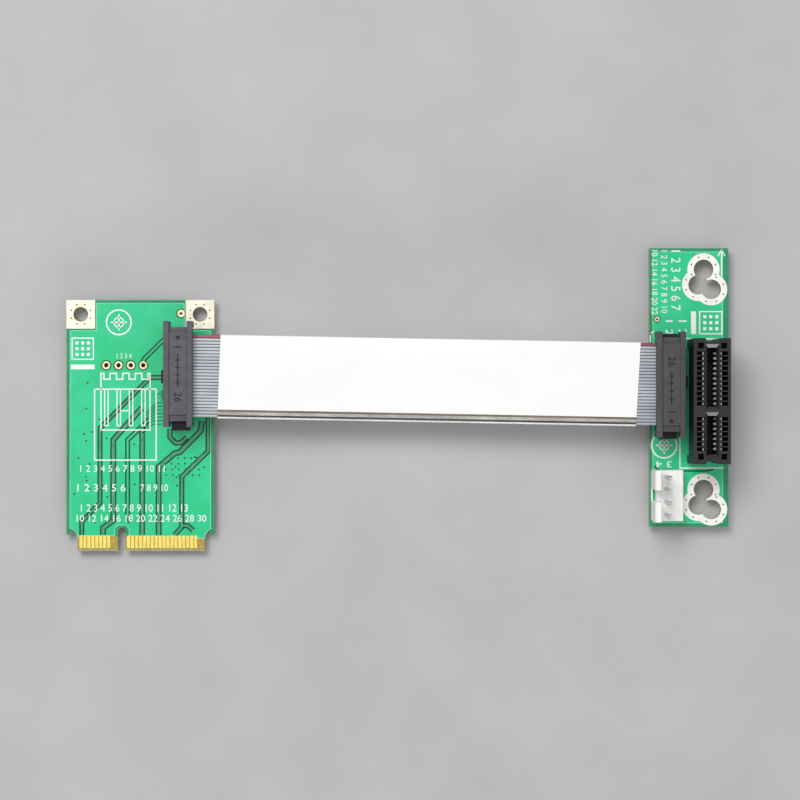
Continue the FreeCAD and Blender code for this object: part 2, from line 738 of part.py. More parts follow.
def slot_housing():
    """The black housing: mouth, key bridge, contact cells, lead-ins, feet, pegs."""
    body = new_body("slot_housing", f"{SLOT_BOARD_X} + slot_x", f"{SLOT_BOARD_Y} + slot_y",
                    SLOT_BOARD_TOP)
    side = "slot_width / 2"
    waist = "(slot_width / 2 - slot_recess)"
    end = "slot_length / 2"
    shoulder = "(slot_length / 2 - slot_foot_length)"
    block = new_sketch(body, "slot_block")
    rectangle(block, "0", "0", "slot_width", "slot_length")
    pad(body, block, "slot_height")

    recess = new_sketch(body, "slot_side_recesses")
    for sign in ("-", ""):
        rectangle(recess, f"{sign}({waist} + slot_width / 4)", "0", "slot_width / 2",
                  f"2 * {shoulder}")
    cut_up(body, recess, "slot_height - slot_lip")
    gap = new_sketch(body, "slot_foot_gap")
    rectangle(gap, "0", "0", "2 * slot_width", f"2 * {shoulder}")
    cut_up(body, gap, "slot_foot_height")

    notch = new_sketch(body, "slot_end_notches")
    wide = "end_notch_width / 2"
    narrow = "(end_notch_width / 2 - end_notch_taper)"
    deep = f"({end} - end_notch_depth)"
    for sign in ("-", ""):
        polygon(notch, [(f"-{wide}", f"{sign}{end}"), (wide, f"{sign}{end}"),
                        (narrow, f"{sign}{deep}"), (f"-{narrow}", f"{sign}{deep}")])
    cut_up(body, notch, "slot_height")

    # the mouth has two sections, one on each side of the key bridge
    key_y = f"({FIRST_CONTACT} - (contacts_before_key - 1 + contact_key_steps / 2)" \
            " * contact_pitch)"
    sections = (("long", f"({key_y} + key_bridge / 2)", f"({end} - end_wall)"),
                ("short", f"(end_wall - {end})", f"({key_y} - key_bridge / 2)"))
    floor = "(slot_height - mouth_depth)"
    lead = "(slot_height - mouth_lead_depth)"
    for name, low, high in sections:
        middle = f"({low} + {high}) / 2"
        mouth = new_sketch(body, f"mouth_{name}", height=floor)
        rectangle(mouth, "0", middle, "mouth_width", f"{high} - {low}")
        cut_up(body, mouth, "mouth_depth")
        wide_mouth = new_sketch(body, f"mouth_lead_{name}", height="slot_height")
        rectangle(wide_mouth, "0", middle, "mouth_width + 2 * mouth_lead",
                  f"{high} - {low} + 2 * mouth_end_lead")
        narrow_mouth = new_sketch(body, f"mouth_throat_{name}", height=lead)
        rectangle(narrow_mouth, "0", middle, "mouth_width", f"{high} - {low}")
        loft_cut(body, wide_mouth, narrow_mouth)

    pockets = new_sketch(body, "end_pockets", height="slot_height - end_pocket_depth")
    pocket_x = "((cell_inner + cell_outer) / 2)"
    pocket_y = f"({end} - end_pocket_inset - end_pocket_side / 2)"
    for sign_x in ("-", ""):
        for sign_y in ("-", ""):
            rectangle(pockets, f"{sign_x}{pocket_x}", f"{sign_y}{pocket_y}",
                      "end_pocket_side", "end_pocket_side")
    cut_up(body, pockets, "end_pocket_depth")

    # a cell is open to the mouth under a thin bar; a channel grips the stem below
    bar = "(slot_height - cell_bar)"
    cell = [("mouth_width / 2 - contact_slack", "cell_floor"), ("cell_outer", "cell_floor"),
            ("cell_outer", "slot_height"), ("cell_inner", "slot_height"),
            ("cell_inner", bar), ("mouth_width / 2 - contact_slack", bar)]
    inner = "contact_stem - contact_slack"
    outer = "contact_stem + contact_thickness + contact_slack"
    channel = [(inner, "0"), (outer, "0"), (outer, "cell_floor"), (inner, "cell_floor")]
    groups = (("long", "0", "contacts_before_key"),
              ("short", AFTER_KEY, "contacts_after_key"))
    for name, start, count in groups:
        height = f"-({FIRST_CONTACT} - {start} * contact_pitch)"
        cuts = []
        for kind, outline, width in (
                ("cell", cell, "cell_width"),
                ("channel", channel, "contact_width + 2 * contact_slack")):
            sketch = new_sketch(body, f"{kind}_{name}", "XZ_Plane", height)
            polygon(sketch, outline)
            polygon(sketch, mirrored(outline))
            cuts.append(cut_across(body, sketch, width))
        row(body, cuts, "Y_Axis", "contact_pitch", count, backward=True)

    pegs = new_sketch(body, "slot_pegs", height="-slot_board_thickness")
    for sign in ("-", ""):
        circle(pegs, "0", f"{sign}({end} - peg_inset)", "peg_diameter")
    pad(body, pegs, "slot_board_thickness + slot_foot_height")
    return body


def slot_contacts(side, sign, row_name, offset, groups):
    """One staggered row of bent spring contacts."""
    name = f"slot_contacts_{side}_{row_name}"
    body = new_body(name, f"{SLOT_BOARD_X} + slot_x", f"{SLOT_BOARD_Y} + slot_y", "0")
    top = SLOT_BOARD_TOP
    jog_low = f"({top} + contact_jog_margin)"
    jog_high = f"({top} + slot_foot_height - contact_jog_margin)"
    spine = [(f"{offset} - contact_thickness / 2", "0"),
             (f"{offset} - contact_thickness / 2", jog_low),
             ("contact_stem", jog_high),
             ("contact_stem", f"({top} + cell_floor + contact_straight)"),
             ("contact_reach", f"({top} + contact_bulge)"),
             ("contact_tip", f"({top} + slot_height - cell_bar - contact_thickness)"),
             ("contact_tip", f"({top} + contact_tip_height)")]
    back = [(f"{x} + contact_thickness", z) for x, z in reversed(spine)]
    outline = spine + back
    if sign == "-":
        outline = mirrored(outline)
    for number, (start, count) in enumerate(groups):
        height = f"-({FIRST_CONTACT} - {start} * contact_pitch)"
        sketch = new_sketch(body, f"{name}_{number}", "XZ_Plane", height)
        polygon(sketch, outline)
        strip = pad(body, sketch, "contact_width", symmetric=True)
        row(body, [strip], "Y_Axis", "2 * contact_pitch", count, backward=True)
    return body


# ---------------------------------------------------------------- power header
def power_header():
    """The white 4 way header with its split lock wall, and its square posts."""
    x = f"{SLOT_BOARD_X} + power_x"
    y = f"{SLOT_BOARD_Y} + power_y"
    length = "(power_pins * power_pitch + 2 * power_end)"
    base = new_body("power_header_housing", x, y, SLOT_BOARD_TOP)
    profile = new_sketch(base, "power_profile", "XZ_Plane")
    left = "-power_width / 2"
    right = "power_width / 2"
    wall = "-power_width / 2 + power_wall"
    polygon(profile, [(left, "0"), (right, "0"), (right, "power_base_height"),
                      (wall, "power_base_height"), (wall, "power_wall_height"),
                      (f"{left} + power_wall_chamfer", "power_wall_height"),
                      (left, "power_wall_height - power_wall_chamfer")])
    pad(base, profile, length, symmetric=True)
    cuts = (("gap", "0", "power_wall", "power_base_height", "power_wall_height"),
            ("notch", "0", "power_notch_depth", "power_rim_height", "power_base_height"),
            ("hole", "power_rim_width", "power_notch_depth", "0", "power_rim_height"))
    for kind, near, far, low, high in cuts:
        opening = new_sketch(base, f"power_wall_{kind}", height=low)
        rectangle(opening, f"{left} + ({near} + {far}) / 2", "0", f"{far} - {near}",
                  "power_gap_width")
        cut_up(base, opening, f"{high} - {low}")
    hole = new_sketch(base, "power_post_hole")
    first = "-(power_pins - 1) / 2 * power_pitch"
    side = "power_pin_side + 2 * pin_slack"
    rectangle(hole, "power_pin_x", first, side, side)
    row(base, [cut_up(base, hole, "power_base_height")], "Y_Axis", "power_pitch",
        "power_pins")

    posts = new_body("power_header_posts", x, y, "0")
    post = new_sketch(posts, "power_post")
    rectangle(post, "power_pin_x", first, "power_pin_side", "power_pin_side")
    stem = pad(posts, post, f"{SLOT_BOARD_TOP} + power_pin_height - power_pin_taper")
    tip_low = new_sketch(posts, "power_post_tip_low",
                         height=f"{SLOT_BOARD_TOP} + power_pin_height - power_pin_taper")
    rectangle(tip_low, "power_pin_x", first, "power_pin_side", "power_pin_side")
    tip_high = new_sketch(posts, "power_post_tip_high",
                          height=f"{SLOT_BOARD_TOP} + power_pin_height")
    rectangle(tip_high, "power_pin_x", first, "power_pin_side / 2", "power_pin_side / 2")
    tip = posts.newObject("PartDesign::AdditiveLoft", "power_post_tip")
    tip.Profile = tip_low
    tip.Sections = [tip_high]
    tip.Ruled = True
    row(posts, [stem, tip], "Y_Axis", "power_pitch", "power_pins")
    return [base, posts]


# ---------------------------------------------------------------- assembly
def build():
    card = mini_card_board()
    carrier = slot_board()
    parts = [card, carrier]
    parts.append(edge_contacts("edge_contacts_top", CARD_TOP))
    parts.append(edge_contacts("edge_contacts_bottom", "board_standoff - copper_thickness"))
    card_x = f"{CARD_X} + card_header_x"
    card_y = f"{CARD_Y} + card_header_y"
    slot_x = f"{SLOT_BOARD_X} + slot_header_x"
    slot_y = f"{SLOT_BOARD_Y} + slot_header_y"
    parts += pin_header("card_header", card_x, card_y, CARD_TOP, "card_header_shift")
    parts += pin_header("slot_header", slot_x, slot_y, SLOT_BOARD_TOP, "slot_header_shift")
    parts += ribbon_socket("card_socket", card_x, card_y, CARD_TOP, "0")
    parts += ribbon_socket("slot_socket", slot_x, slot_y, SLOT_BOARD_TOP, "180")
    parts.append(slot_housing())
    for side, sign in (("a", "-"), ("b", "+")):
        for row_name, offset, groups in CONTACT_ROWS:
            parts.append(slot_contacts(side, sign, row_name, offset, groups))
    parts += power_header()
    doc.recompute()
    parts.append(card_screw_pads(card))
    parts += ribbon()
    doc.recompute()
    return parts


def check(parts):
    """Stop if a feature failed or a sub-part is empty or broken."""
    for item in doc.Objects:
        if "Invalid" in item.State or "Error" in item.State:
            raise RuntimeError(f"{item.Label} failed to build: {item.State}")
    for part in parts:
        if part.Shape.isNull() or not part.Shape.isValid():
            raise RuntimeError(f"{part.Label} has no valid shape")
        print(f"{part.Label}: {len(part.Shape.Solids)} solids, {part.Shape.Volume:.3f} mm3")


all_parts = build()
check(all_parts)
os.makedirs("parts", exist_ok=True)
for part in all_parts:
    part.Shape.exportStep(f"parts/{part.Label}.step")
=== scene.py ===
# %% [markdown]
# # A mini card to x1 slot extension
#
# The object is two small green circuit boards joined by a short flat ribbon.
# The left board slides into a mini card socket by its gold fingers. The right
# board carries a black x1 slot, where a larger card plugs in.
#
# The CAD model gives the exact sizes, so this lesson adds only the looks: finishes
# for the boards, metals and plastics, softer moulded edges, the ribs of the ribbon,
# the copper lines under the green lacquer, the white print and the solder.

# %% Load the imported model
import math
import random
import bmesh
import bpy
from mathutils import Matrix, Vector, noise


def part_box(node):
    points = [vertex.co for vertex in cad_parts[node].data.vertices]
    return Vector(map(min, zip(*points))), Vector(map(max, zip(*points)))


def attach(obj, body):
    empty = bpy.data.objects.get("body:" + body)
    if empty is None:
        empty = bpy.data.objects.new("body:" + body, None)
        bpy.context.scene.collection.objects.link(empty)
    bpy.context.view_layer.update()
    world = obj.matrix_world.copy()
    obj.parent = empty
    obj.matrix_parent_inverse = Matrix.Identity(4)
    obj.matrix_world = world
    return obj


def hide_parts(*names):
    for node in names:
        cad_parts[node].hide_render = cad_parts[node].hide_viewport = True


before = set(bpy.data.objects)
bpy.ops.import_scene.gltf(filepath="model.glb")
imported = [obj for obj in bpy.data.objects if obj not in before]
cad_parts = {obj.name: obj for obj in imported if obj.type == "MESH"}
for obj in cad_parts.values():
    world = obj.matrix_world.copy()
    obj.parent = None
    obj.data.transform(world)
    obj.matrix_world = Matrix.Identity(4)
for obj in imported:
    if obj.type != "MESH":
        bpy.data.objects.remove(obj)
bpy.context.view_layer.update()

# %% [markdown]
# ## Working in millimetres
#
# Circuit boards are drawn in millimetres, and Blender measures in metres. Every size
# below is written in millimetres and is turned into metres only when a mesh is made.
# Places are never typed in twice: they are read from the CAD nodes' own boxes.

# %% Millimetres and the boxes of the nodes
MM = 0.001


def span(node):
    """Lowest and highest corner of a CAD node, in millimetres."""
    low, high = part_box(node)
    return low / MM, high / MM


def middle(node):
    low, high = span(node)
    return (low + high) / 2


for board in ("mini_card_board", "slot_board"):
    low, high = span(board)
    print(board, "measures", [round(side, 2) for side in high - low], "mm")

# %% [markdown]
# ## Camera
#
# The object is seen from straight above, through a long lens, the usual view of a
# flat part. A long lens keeps the tall slot from leaning outwards much.

# %% Camera straight above
def placed(name, data):
    """A new object in the scene."""
    made = bpy.data.objects.new(name, data)
    bpy.context.collection.objects.link(made)
    return made


camera_data = bpy.data.cameras.new("camera")
camera_data.lens = 104.3
camera_data.sensor_width = 36
camera = placed("camera", camera_data)
camera.location = Vector((0.57, -0.05, 472.7)) * MM
bpy.context.scene.camera = camera
print("camera height in mm:", round(camera.location.z / MM, 1))

# %% [markdown]
# ## Finishes
#
# A real surface is never one flat colour. Moulded plastic is a little mottled and
# grainy, metal is brushed or blotchy, and corners are rubbed. Most finishes also get a
# painted highlight on their edges. Each finish here is built from the same few nodes:
#
# * a noise in the object's own space mixes two near colours,
# * a finer noise moves the roughness up and down,
# * a third noise gives a low bump, the grain,
# * the Bevel node finds sharp edges, and an edge colour is mixed in there: partly wear,
#   partly painted highlight.
#
# Painting images would also work, but node noise has no seams and stays sharp when
# the camera comes close.

# %% Colours
def tint(red, green, blue):
    """A display colour from 0 to 255, as the linear colour that shaders use."""
    shares = [channel / 255 for channel in (red, green, blue)]
    linear = [s / 12.92 if s <= 0.04045 else ((s + 0.055) / 1.055) ** 2.4 for s in shares]
    return (*linear, 1.0)


# %% Short calls for adding and wiring nodes
class Nodes:
    """A node tree that is built up node by node."""

    def __init__(self, tree):
        self.tree = tree

    def wire(self, source, target):
        """Join an output to an input, or set the input where source is a constant."""
        if isinstance(source, (tuple, float, int)):
            target.default_value = source
        else:
            self.tree.links.new(source, target)

    def add(self, kind, sources=None, **settings):
        """A new node; sources holds what goes into each input."""
        node = self.tree.nodes.new(kind)
        for key, setting in settings.items():
            setattr(node, key, setting)
        for key, source in (sources or {}).items():
            self.wire(source, node.inputs[key])
        return node

    def ease(self, source, low, high, start=0.3, stop=0.7):
        """Map values between start and stop to values between low and high."""
        return self.add("ShaderNodeMapRange", {
            "Value": source, "From Min": start, "From Max": stop, "To Min": low,
            "To Max": high}).outputs["Result"]

    def math(self, operation, first, second=0.0):
        return self.add("ShaderNodeMath", {0: first, 1: second},
                        operation=operation).outputs[0]

    def height(self, source):
        """The upward share of a direction."""
        return self.add("ShaderNodeSeparateXYZ", {0: source}).outputs["Z"]


class Finish(Nodes):
    """A material of the object."""

    def __init__(self, name):
        self.material = bpy.data.materials.new(name)
        self.material.use_nodes = True
        super().__init__(self.material.node_tree)
        self.shader = self.tree.nodes["Principled BSDF"]
        self.place = self.add("ShaderNodeTexCoord").outputs["Object"]

    def noise(self, scale, squeeze=(1, 1, 1)):
        """A soft noise with scale waves per metre, squeezed along each axis."""
        mapping = self.add("ShaderNodeMapping", {"Vector": self.place, "Scale": squeeze})
        return self.add("ShaderNodeTexNoise", {
            "Vector": mapping.outputs["Vector"], "Scale": scale,
            "Detail": 3.0}).outputs["Fac"]

    def blend(self, share, first, second):
        """Mix two colours, each a constant or an output, by a share from 0 to 1."""
        return self.add("ShaderNodeMix", {"Factor": share, 6: first, 7: second},
                        data_type="RGBA").outputs[2]

    def upward(self):
        """1 on faces that point up, 0 on upright ones and -1 on those that point down."""
        return self.height(self.add("ShaderNodeNewGeometry").outputs["Normal"])

    def edges(self, radius):
        """About 1 on sharp edges and 0 on flat faces."""
        rounded = self.add("ShaderNodeBevel", {"Radius": radius * MM}, samples=4)
        flat = self.add("ShaderNodeNewGeometry")
        dot = self.add("ShaderNodeVectorMath", {
            0: rounded.outputs["Normal"], 1: flat.outputs["Normal"]},
            operation="DOT_PRODUCT")
        return self.ease(dot.outputs["Value"], 1.0, 0.0, 0.75, 0.98)

    def bump(self, source, height):
        """Use a noise as grain; height is in millimetres."""
        bump = self.add("ShaderNodeBump", {"Distance": height * MM, "Height": source})
        self.wire(bump.outputs["Normal"], self.shader.inputs["Normal"])


def finish(name, dark, light, mottle=500, rough=(0.3, 0.45), grain=2500, height=0.01,
           edge_wear_and_highlight=None, rub_radius=0.08, squeeze=(1, 1, 1), polish=None, groove=None,
           **shader):
    """The common recipe for a surface, from colours between 0 and 255.

    The edge colour lies on sharp edges: it is partly wear and partly a painted
    highlight, the line of light an edge catches. The polish is the roughness of sloping
    faces, where a mould is polished. The groove is painted shade: a darker colour for
    steep faces, standing for the shadow in the grooves between ribs. What is left over
    goes straight to the shader's sockets.
    """
    made = Finish(name)
    share = made.ease(made.noise(mottle, squeeze), 0.0, 1.0)
    colour = made.blend(share, tint(*dark), tint(*light))
    # Edge colour: wear, and on most finishes a painted highlight, the line of light a sharp
    # edge catches.
    if edge_wear_and_highlight:
        edge_patches = made.noise(mottle * 8)
        wear_and_highlight_share = made.math("MULTIPLY", made.edges(rub_radius), made.ease(edge_patches, 0.15, 0.8))
        colour = made.blend(wear_and_highlight_share, colour, tint(*edge_wear_and_highlight))
    # Painted shade: steep faces, such as the sides of the ribs, are darkened as if
    # shadowed.
    if groove:
        level = made.ease(made.math("ABSOLUTE", made.upward()), 0.0, 1.0, 0.25, 0.8)
        colour = made.blend(level, tint(*groove), colour)
    made.wire(colour, made.shader.inputs["Base Color"])
    gloss = made.ease(made.noise(mottle * 3), *rough)
    if polish:
        upward = made.upward()
        slope = made.math("MULTIPLY", made.ease(upward, 0.0, 1.0, 0.55, 0.65),
                          made.ease(upward, 1.0, 0.0, 0.84, 0.9))
        matt = made.math("SUBTRACT", 1.0, slope)
        gloss = made.math("ADD", made.math("MULTIPLY", slope, polish),
                          made.math("MULTIPLY", gloss, matt))
    made.wire(gloss, made.shader.inputs["Roughness"])
    made.bump(made.noise(grain, squeeze), height)
    for socket, setting in shader.items():
        made.shader.inputs[socket.replace("_", " ")].default_value = setting
    return made.material


# %% [markdown]
# ## Floor, lamps and sky
#
# The floor is a plain pale grey sheet. One large lamp stands behind the boards, to the
# left and high up, so each part drops a soft shadow towards the near right. The narrow
# gap between the slot and its neighbour stays dark that way.
#
# The sky fills the shadows. It is bright overhead and dim at the horizon, like a room
# with a white ceiling and dark walls, so upright faces stay deeper than flat ones.
# Together they give a white card about its own white, so colours come out as they are
# written. Glossy rays see a brighter sky than matt ones do, because a real part on a
# bench also mirrors the pale room around it.
#
# A narrow low lamp stands on the near side. It hardly lights anything, but polished
# slopes that face the near side mirror it as a glint.

# %% Floor
floor_finish = finish("floor_sheet", (182, 182, 183), (190, 190, 191),
                      mottle=40, rough=(0.75, 0.85), grain=900, height=0.03)
bpy.ops.mesh.primitive_plane_add(size=3, location=(0, 0, 0))
floor = bpy.context.object
floor.name = "floor"
floor.data.materials.append(floor_finish)

# %% Lamps
def add_lamp(name, place, width, height, watts):
    """An oblong lamp that faces the middle of the object."""
    lamp_data = bpy.data.lights.new(name, "AREA")
    lamp_data.shape = "RECTANGLE"
    lamp_data.size = width
    lamp_data.size_y = height
    lamp_data.energy = watts
    lamp = placed(name, lamp_data)
    lamp.location = place
    lamp.rotation_euler = (-lamp.location).to_track_quat("-Z", "Y").to_euler()
    rise = math.atan2(lamp.location.z, math.hypot(lamp.location.x, lamp.location.y))
    print(name, "stands", round(math.degrees(rise)), "degrees above the boards")


add_lamp("window_lamp", (-0.24, 0.42, 0.77), 0.5, 0.4, 4.95)
add_lamp("glint_lamp", (0.16, -0.7, 0.21), 0.5, 0.1, 1.5)

# %% Sky
HORIZON, OVERHEAD, MIRRORED = 0.12, 0.62, 0.9
world = bpy.data.worlds.new("room")
bpy.context.scene.world = world
world.use_nodes = True
sky = Nodes(world.node_tree)
aim = sky.add("ShaderNodeTexCoord").outputs["Generated"]
ceiling = sky.ease(sky.height(aim), HORIZON, OVERHEAD, 0.0, 0.9)
mirrored = sky.add("ShaderNodeLightPath").outputs["Is Glossy Ray"]
strength = sky.add("ShaderNodeMix", {0: mirrored, 2: ceiling, 3: MIRRORED})
background = sky.tree.nodes["Background"]
sky.wire((1.0, 1.0, 1.0, 1.0), background.inputs["Color"])
sky.wire(strength.outputs[0], background.inputs["Strength"])
bpy.context.scene.view_settings.view_transform = "Standard"

# %% [markdown]
# ## Making pieces
#
# Nearly everything added to a circuit board is a thin flat sheet: copper lines,
# lacquer, print and tin. Each is made here as a closed prism over an outline, a few
# hundredths of a millimetre high, so that light and shadow treat it as a real layer.

# %% From outlines to closed solids
def corners(mesh, outline, height):
    """Corners of a mesh over (x, y) places, at one height."""
    return [mesh.verts.new(Vector((x, y, height)) * MM) for x, y in outline]


def skin(mesh, here, there):
    """A closed belt of faces between two loops of corners."""
    for i in range(len(here)):
        j = (i + 1) % len(here)
        mesh.faces.new((here[i], here[j], there[j], there[i]))


def prism(mesh, outline, low, high):
    """A flat-topped solid over a closed outline of (x, y) places."""
    under = corners(mesh, outline, low)
    over = corners(mesh, outline, high)
    mesh.faces.new(over)
    mesh.faces.new(under[::-1])
    skin(mesh, under, over)


def block(mesh, x, y, width, length, low, high):
    """A flat rectangle about its middle."""
    a, b = width / 2, length / 2
    prism(mesh, [(x - a, y - b), (x + a, y - b), (x + a, y + b), (x - a, y + b)], low, high)


def round_points(x, y, radius, sides, start=0.0, turn=2 * math.pi):
    """Points on a circle or on part of one."""
    last = sides if abs(turn) >= 2 * math.pi - 1e-9 else sides - 1
    return [(x + radius * math.cos(start + turn * i / last),
             y + radius * math.sin(start + turn * i / last)) for i in range(sides)]


def disc(mesh, x, y, radius, low, high, sides=20):
    prism(mesh, round_points(x, y, radius, sides), low, high)


def ring(mesh, x, y, outer, inner, low, high, sides=32):
    """A flat washer."""
    loops = [corners(mesh, round_points(x, y, radius, sides), height) for radius, height
             in ((outer, low), (outer, high), (inner, high), (inner, low))]
    for k in range(4):
        skin(mesh, loops[k], loops[(k + 1) % 4])


def line(mesh, points, width, low, high):
    """A flat line of even width with mitred corners."""
    spots = [Vector(p) for p in points]
    left, right = [], []
    for i, spot in enumerate(spots):
        into = (spot - spots[i - 1]).normalized() if i else None
        away = (spots[i + 1] - spot).normalized() if i + 1 < len(spots) else None
        into = into or away
        away = away or into
        along = (into + away).normalized()
        across = Vector((-along.y, along.x))
        reach = width / 2 / max(0.5, along.dot(into))
        left.append(spot + across * reach)
        right.append(spot - across * reach)
    prism(mesh, [tuple(p) for p in right + left[::-1]], low, high)


# %% From a mesh to a piece of the object
def finished(name, mesh):
    """Turn a mesh that was being built into an object, with its faces outwards."""
    bmesh.ops.recalc_face_normals(mesh, faces=mesh.faces)
    data = bpy.data.meshes.new(name)
    mesh.to_mesh(data)
    mesh.free()
    return placed(name, data)


def piece(name, mesh, material, slot, *replaced):
    """Finish a mesh and hang it on the object; the slot argument is not used."""
    made = finished(name, mesh)
    made.data.materials.append(material)
    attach(made, "root")
    if replaced:
        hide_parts(*replaced)
    print(name, len(made.data.polygons), "faces")
    return made


# %% [markdown]
# ## Board lacquer
#
# A circuit board is woven glass and resin, lacquered green on both faces. Where there
# is no copper below, the lacquer looks dark. The sawn edges show the bare pale
# laminate, and so does the bevel of the card's tongue. One finish serves both: the
# direction in which a face points decides between lacquer and laminate, because only
# the two large faces point straight up or down.

# %% Lacquer with bare laminate on the cut edges
bare_board = Finish("board_lacquer_dark")
mottled = bare_board.ease(bare_board.noise(250), 0.0, 1.0)
lacquer = bare_board.blend(mottled, tint(14, 132, 84), tint(26, 152, 102))
weave = bare_board.ease(bare_board.noise(1800, (1, 1, 6)), 0.0, 1.0)
cut_edge = bare_board.blend(weave, tint(150, 132, 84), tint(206, 192, 140))
level = bare_board.math("ABSOLUTE", bare_board.upward())
flat = bare_board.ease(level, 0.0, 1.0, 0.93, 0.97)
bare_board.wire(bare_board.blend(flat, cut_edge, lacquer),
                bare_board.shader.inputs["Base Color"])
dulled = bare_board.math("SUBTRACT", 0.95, bare_board.math("MULTIPLY", flat, 0.6))
bare_board.wire(dulled, bare_board.shader.inputs["Roughness"])
bare_board.bump(bare_board.noise(1500), 0.01)

# %% [markdown]
# ## Metals
#
# Three metals meet here. The edge fingers are gold over nickel, satin and yellow. The
# screw pads and the pins are tinned: whitish, soft and a little blotchy. The slot's
# spring contacts are bronze with a thin gold flash, which only glints deep inside.
# The near-white edges of pins, posts and contacts are a painted glint.

# %% Gold, tin and spring bronze
gold = finish("finger_gold", (232, 200, 88), (254, 234, 132), mottle=900,
              rough=(0.28, 0.42), height=0.006, squeeze=(3, 0.6, 1), edge_wear_and_highlight=(206, 172, 74),
              rub_radius=0.05, Metallic=0.6)
dull_tin = dict(rough=(0.4, 0.55), grain=1500, height=0.02, Metallic=0.2)
clover_tin = finish("clover_tin", (238, 237, 226), (252, 251, 246), **dull_tin)
tin = finish("pad_tin", (234, 228, 200), (252, 248, 232), mottle=700, **dull_tin)
# Near-white edge colours on pins, posts and contacts: painted glint.
wire_tin = finish("pin_tin", (196, 196, 192), (232, 230, 224), mottle=900,
                  edge_wear_and_highlight=(250, 250, 248), rub_radius=0.05, Metallic=0.8)
post_tin = finish("post_tin", (190, 192, 196), (234, 234, 236), mottle=700,
                  rough=(0.25, 0.4), edge_wear_and_highlight=(252, 252, 252), rub_radius=0.06, Metallic=0.8)
bronze = finish("contact_spring", (188, 186, 178), (228, 226, 218), mottle=900,
                height=0.005, edge_wear_and_highlight=(255, 253, 246), rub_radius=0.06, Metallic=0.3)

# %% [markdown]
# ## Plastics
#
# The ribbon sockets are charcoal with a fine moulded grain. The two covers get
# slightly different greys, the card's a little lighter and bluer. The slot is blacker,
# and its lead-in slopes are polished for the card that slides in. The headers under the
# sockets are plain black. The power header is natural nylon, which is milky: a little
# light goes in and comes out again. The paler edges of these plastics are partly wear
# and partly a painted highlight, the thin line of light an edge catches.

# %% Moulded plastics
# Paler edge colours on these plastics: partly wear, partly painted highlight.
charcoal = finish("socket_charcoal", (12, 12, 13), (22, 21, 23), rough=(0.5, 0.62),
                  grain=5000, height=0.012, edge_wear_and_highlight=(70, 68, 72), Specular_IOR_Level=0.35)
moulded = dict(mottle=450, rough=(0.48, 0.6), grain=5000, height=0.014, rub_radius=0.14)
card_cover = finish("card_cover_charcoal", (70, 69, 75), (84, 83, 89),
                    edge_wear_and_highlight=(128, 127, 132), **moulded)
slot_cover = finish("slot_cover_charcoal", (55, 56, 55), (68, 69, 67),
                    edge_wear_and_highlight=(108, 109, 107), **moulded)
slot_black = finish("slot_black", (26, 26, 27), (38, 38, 39), mottle=400,
                    rough=(0.5, 0.65), grain=5000, polish=0.12, edge_wear_and_highlight=(104, 104, 106),
                    rub_radius=0.1, Specular_IOR_Level=0.35)
header_black = finish("header_black", (16, 16, 17), (26, 26, 27), rough=(0.45, 0.6),
                      grain=5000, edge_wear_and_highlight=(70, 70, 72))
nylon = finish("power_nylon", (244, 245, 240), (254, 254, 251), mottle=250,
               rough=(0.35, 0.48), grain=4000, height=0.008, edge_wear_and_highlight=(252, 252, 250),
               rub_radius=0.12, Subsurface_Weight=0.1, Subsurface_Scale=0.0005)

# %% Put the finishes on the nodes that stay
dressed = (
    (bare_board.material, "mini_card_board slot_board"),
    (gold, "edge_contacts_top edge_contacts_bottom"),
    (tin, "card_screw_pads"),
    (header_black, "card_header_base slot_header_base"),
    (wire_tin, "card_header_pins slot_header_pins"),
    (post_tin, "power_header_posts"),
    (bronze, "slot_contacts_a_near slot_contacts_a_far"),
    (bronze, "slot_contacts_b_near slot_contacts_b_far"),
)
for material, names in dressed:
    for name in names.split():
        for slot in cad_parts[name].material_slots:
            slot.material = material
    print(material.name, "on", names)

# %% [markdown]
# ## The ribbon's line
#
# The ribbon is gripped in both sockets and sags a little between them. It is drawn
# as one smooth NURBS line through a few control points: level at each socket, lowest
# in the middle. A spline is kinder than straight runs and arcs, because its bend
# comes and goes gently, as it does in a real flat cable.

# %% A smooth line from socket to socket
ends = [middle(f"{side}_header_pins") for side in ("card", "slot")]
reach = math.hypot(ends[1].x - ends[0].x, ends[1].y - ends[0].y)
turn = math.atan2(ends[1].y - ends[0].y, ends[1].x - ends[0].x)
RIBBON_THICK = 0.65
GRIP = 2.88
LEVEL_RUN = 20
SAG = 1.5
heights = [span(f"{side}_socket_body")[1].z + 0.02 + RIBBON_THICK / 2
           for side in ("card", "slot")]
route = [(-GRIP, heights[0]), (LEVEL_RUN, heights[0]),
         (reach / 2, sum(heights) / 2 - SAG),
         (reach - LEVEL_RUN, heights[1]), (reach + GRIP, heights[1])]

curve = bpy.data.curves.new("ribbon_line", "CURVE")
curve.dimensions = "3D"
curve.resolution_u = 24
spline = curve.splines.new("NURBS")
spline.points.add(len(route) - 1)
for point, (along, height) in zip(spline.points, route):
    point.co = (along * MM, 0, height * MM, 1)
spline.order_u = 3
spline.use_endpoint_u = True
guide = bpy.data.objects.new("ribbon_line", curve)
line_mesh = bpy.data.meshes.new_from_object(guide)
line_spots = [(v.co.x / MM, v.co.z / MM) for v in line_mesh.vertices]
bpy.data.objects.remove(guide)
print("ribbon line:", len(line_spots), "places, length",
      round(sum(math.dist(a, b) for a, b in zip(line_spots, line_spots[1:])), 2), "mm")

# %% [markdown]
# ## Flat bands along the line
#
# Each layer of the ribbon is a band: a cross-section carried along the line. The bare
# ends show round ribs, one over each wire. A real ribbon is never quite flat, so all
# layers share one slow ripple, and they can't cut through each other. At the card it
# was also laid into the socket a little off the middle, and the line makes up for it.

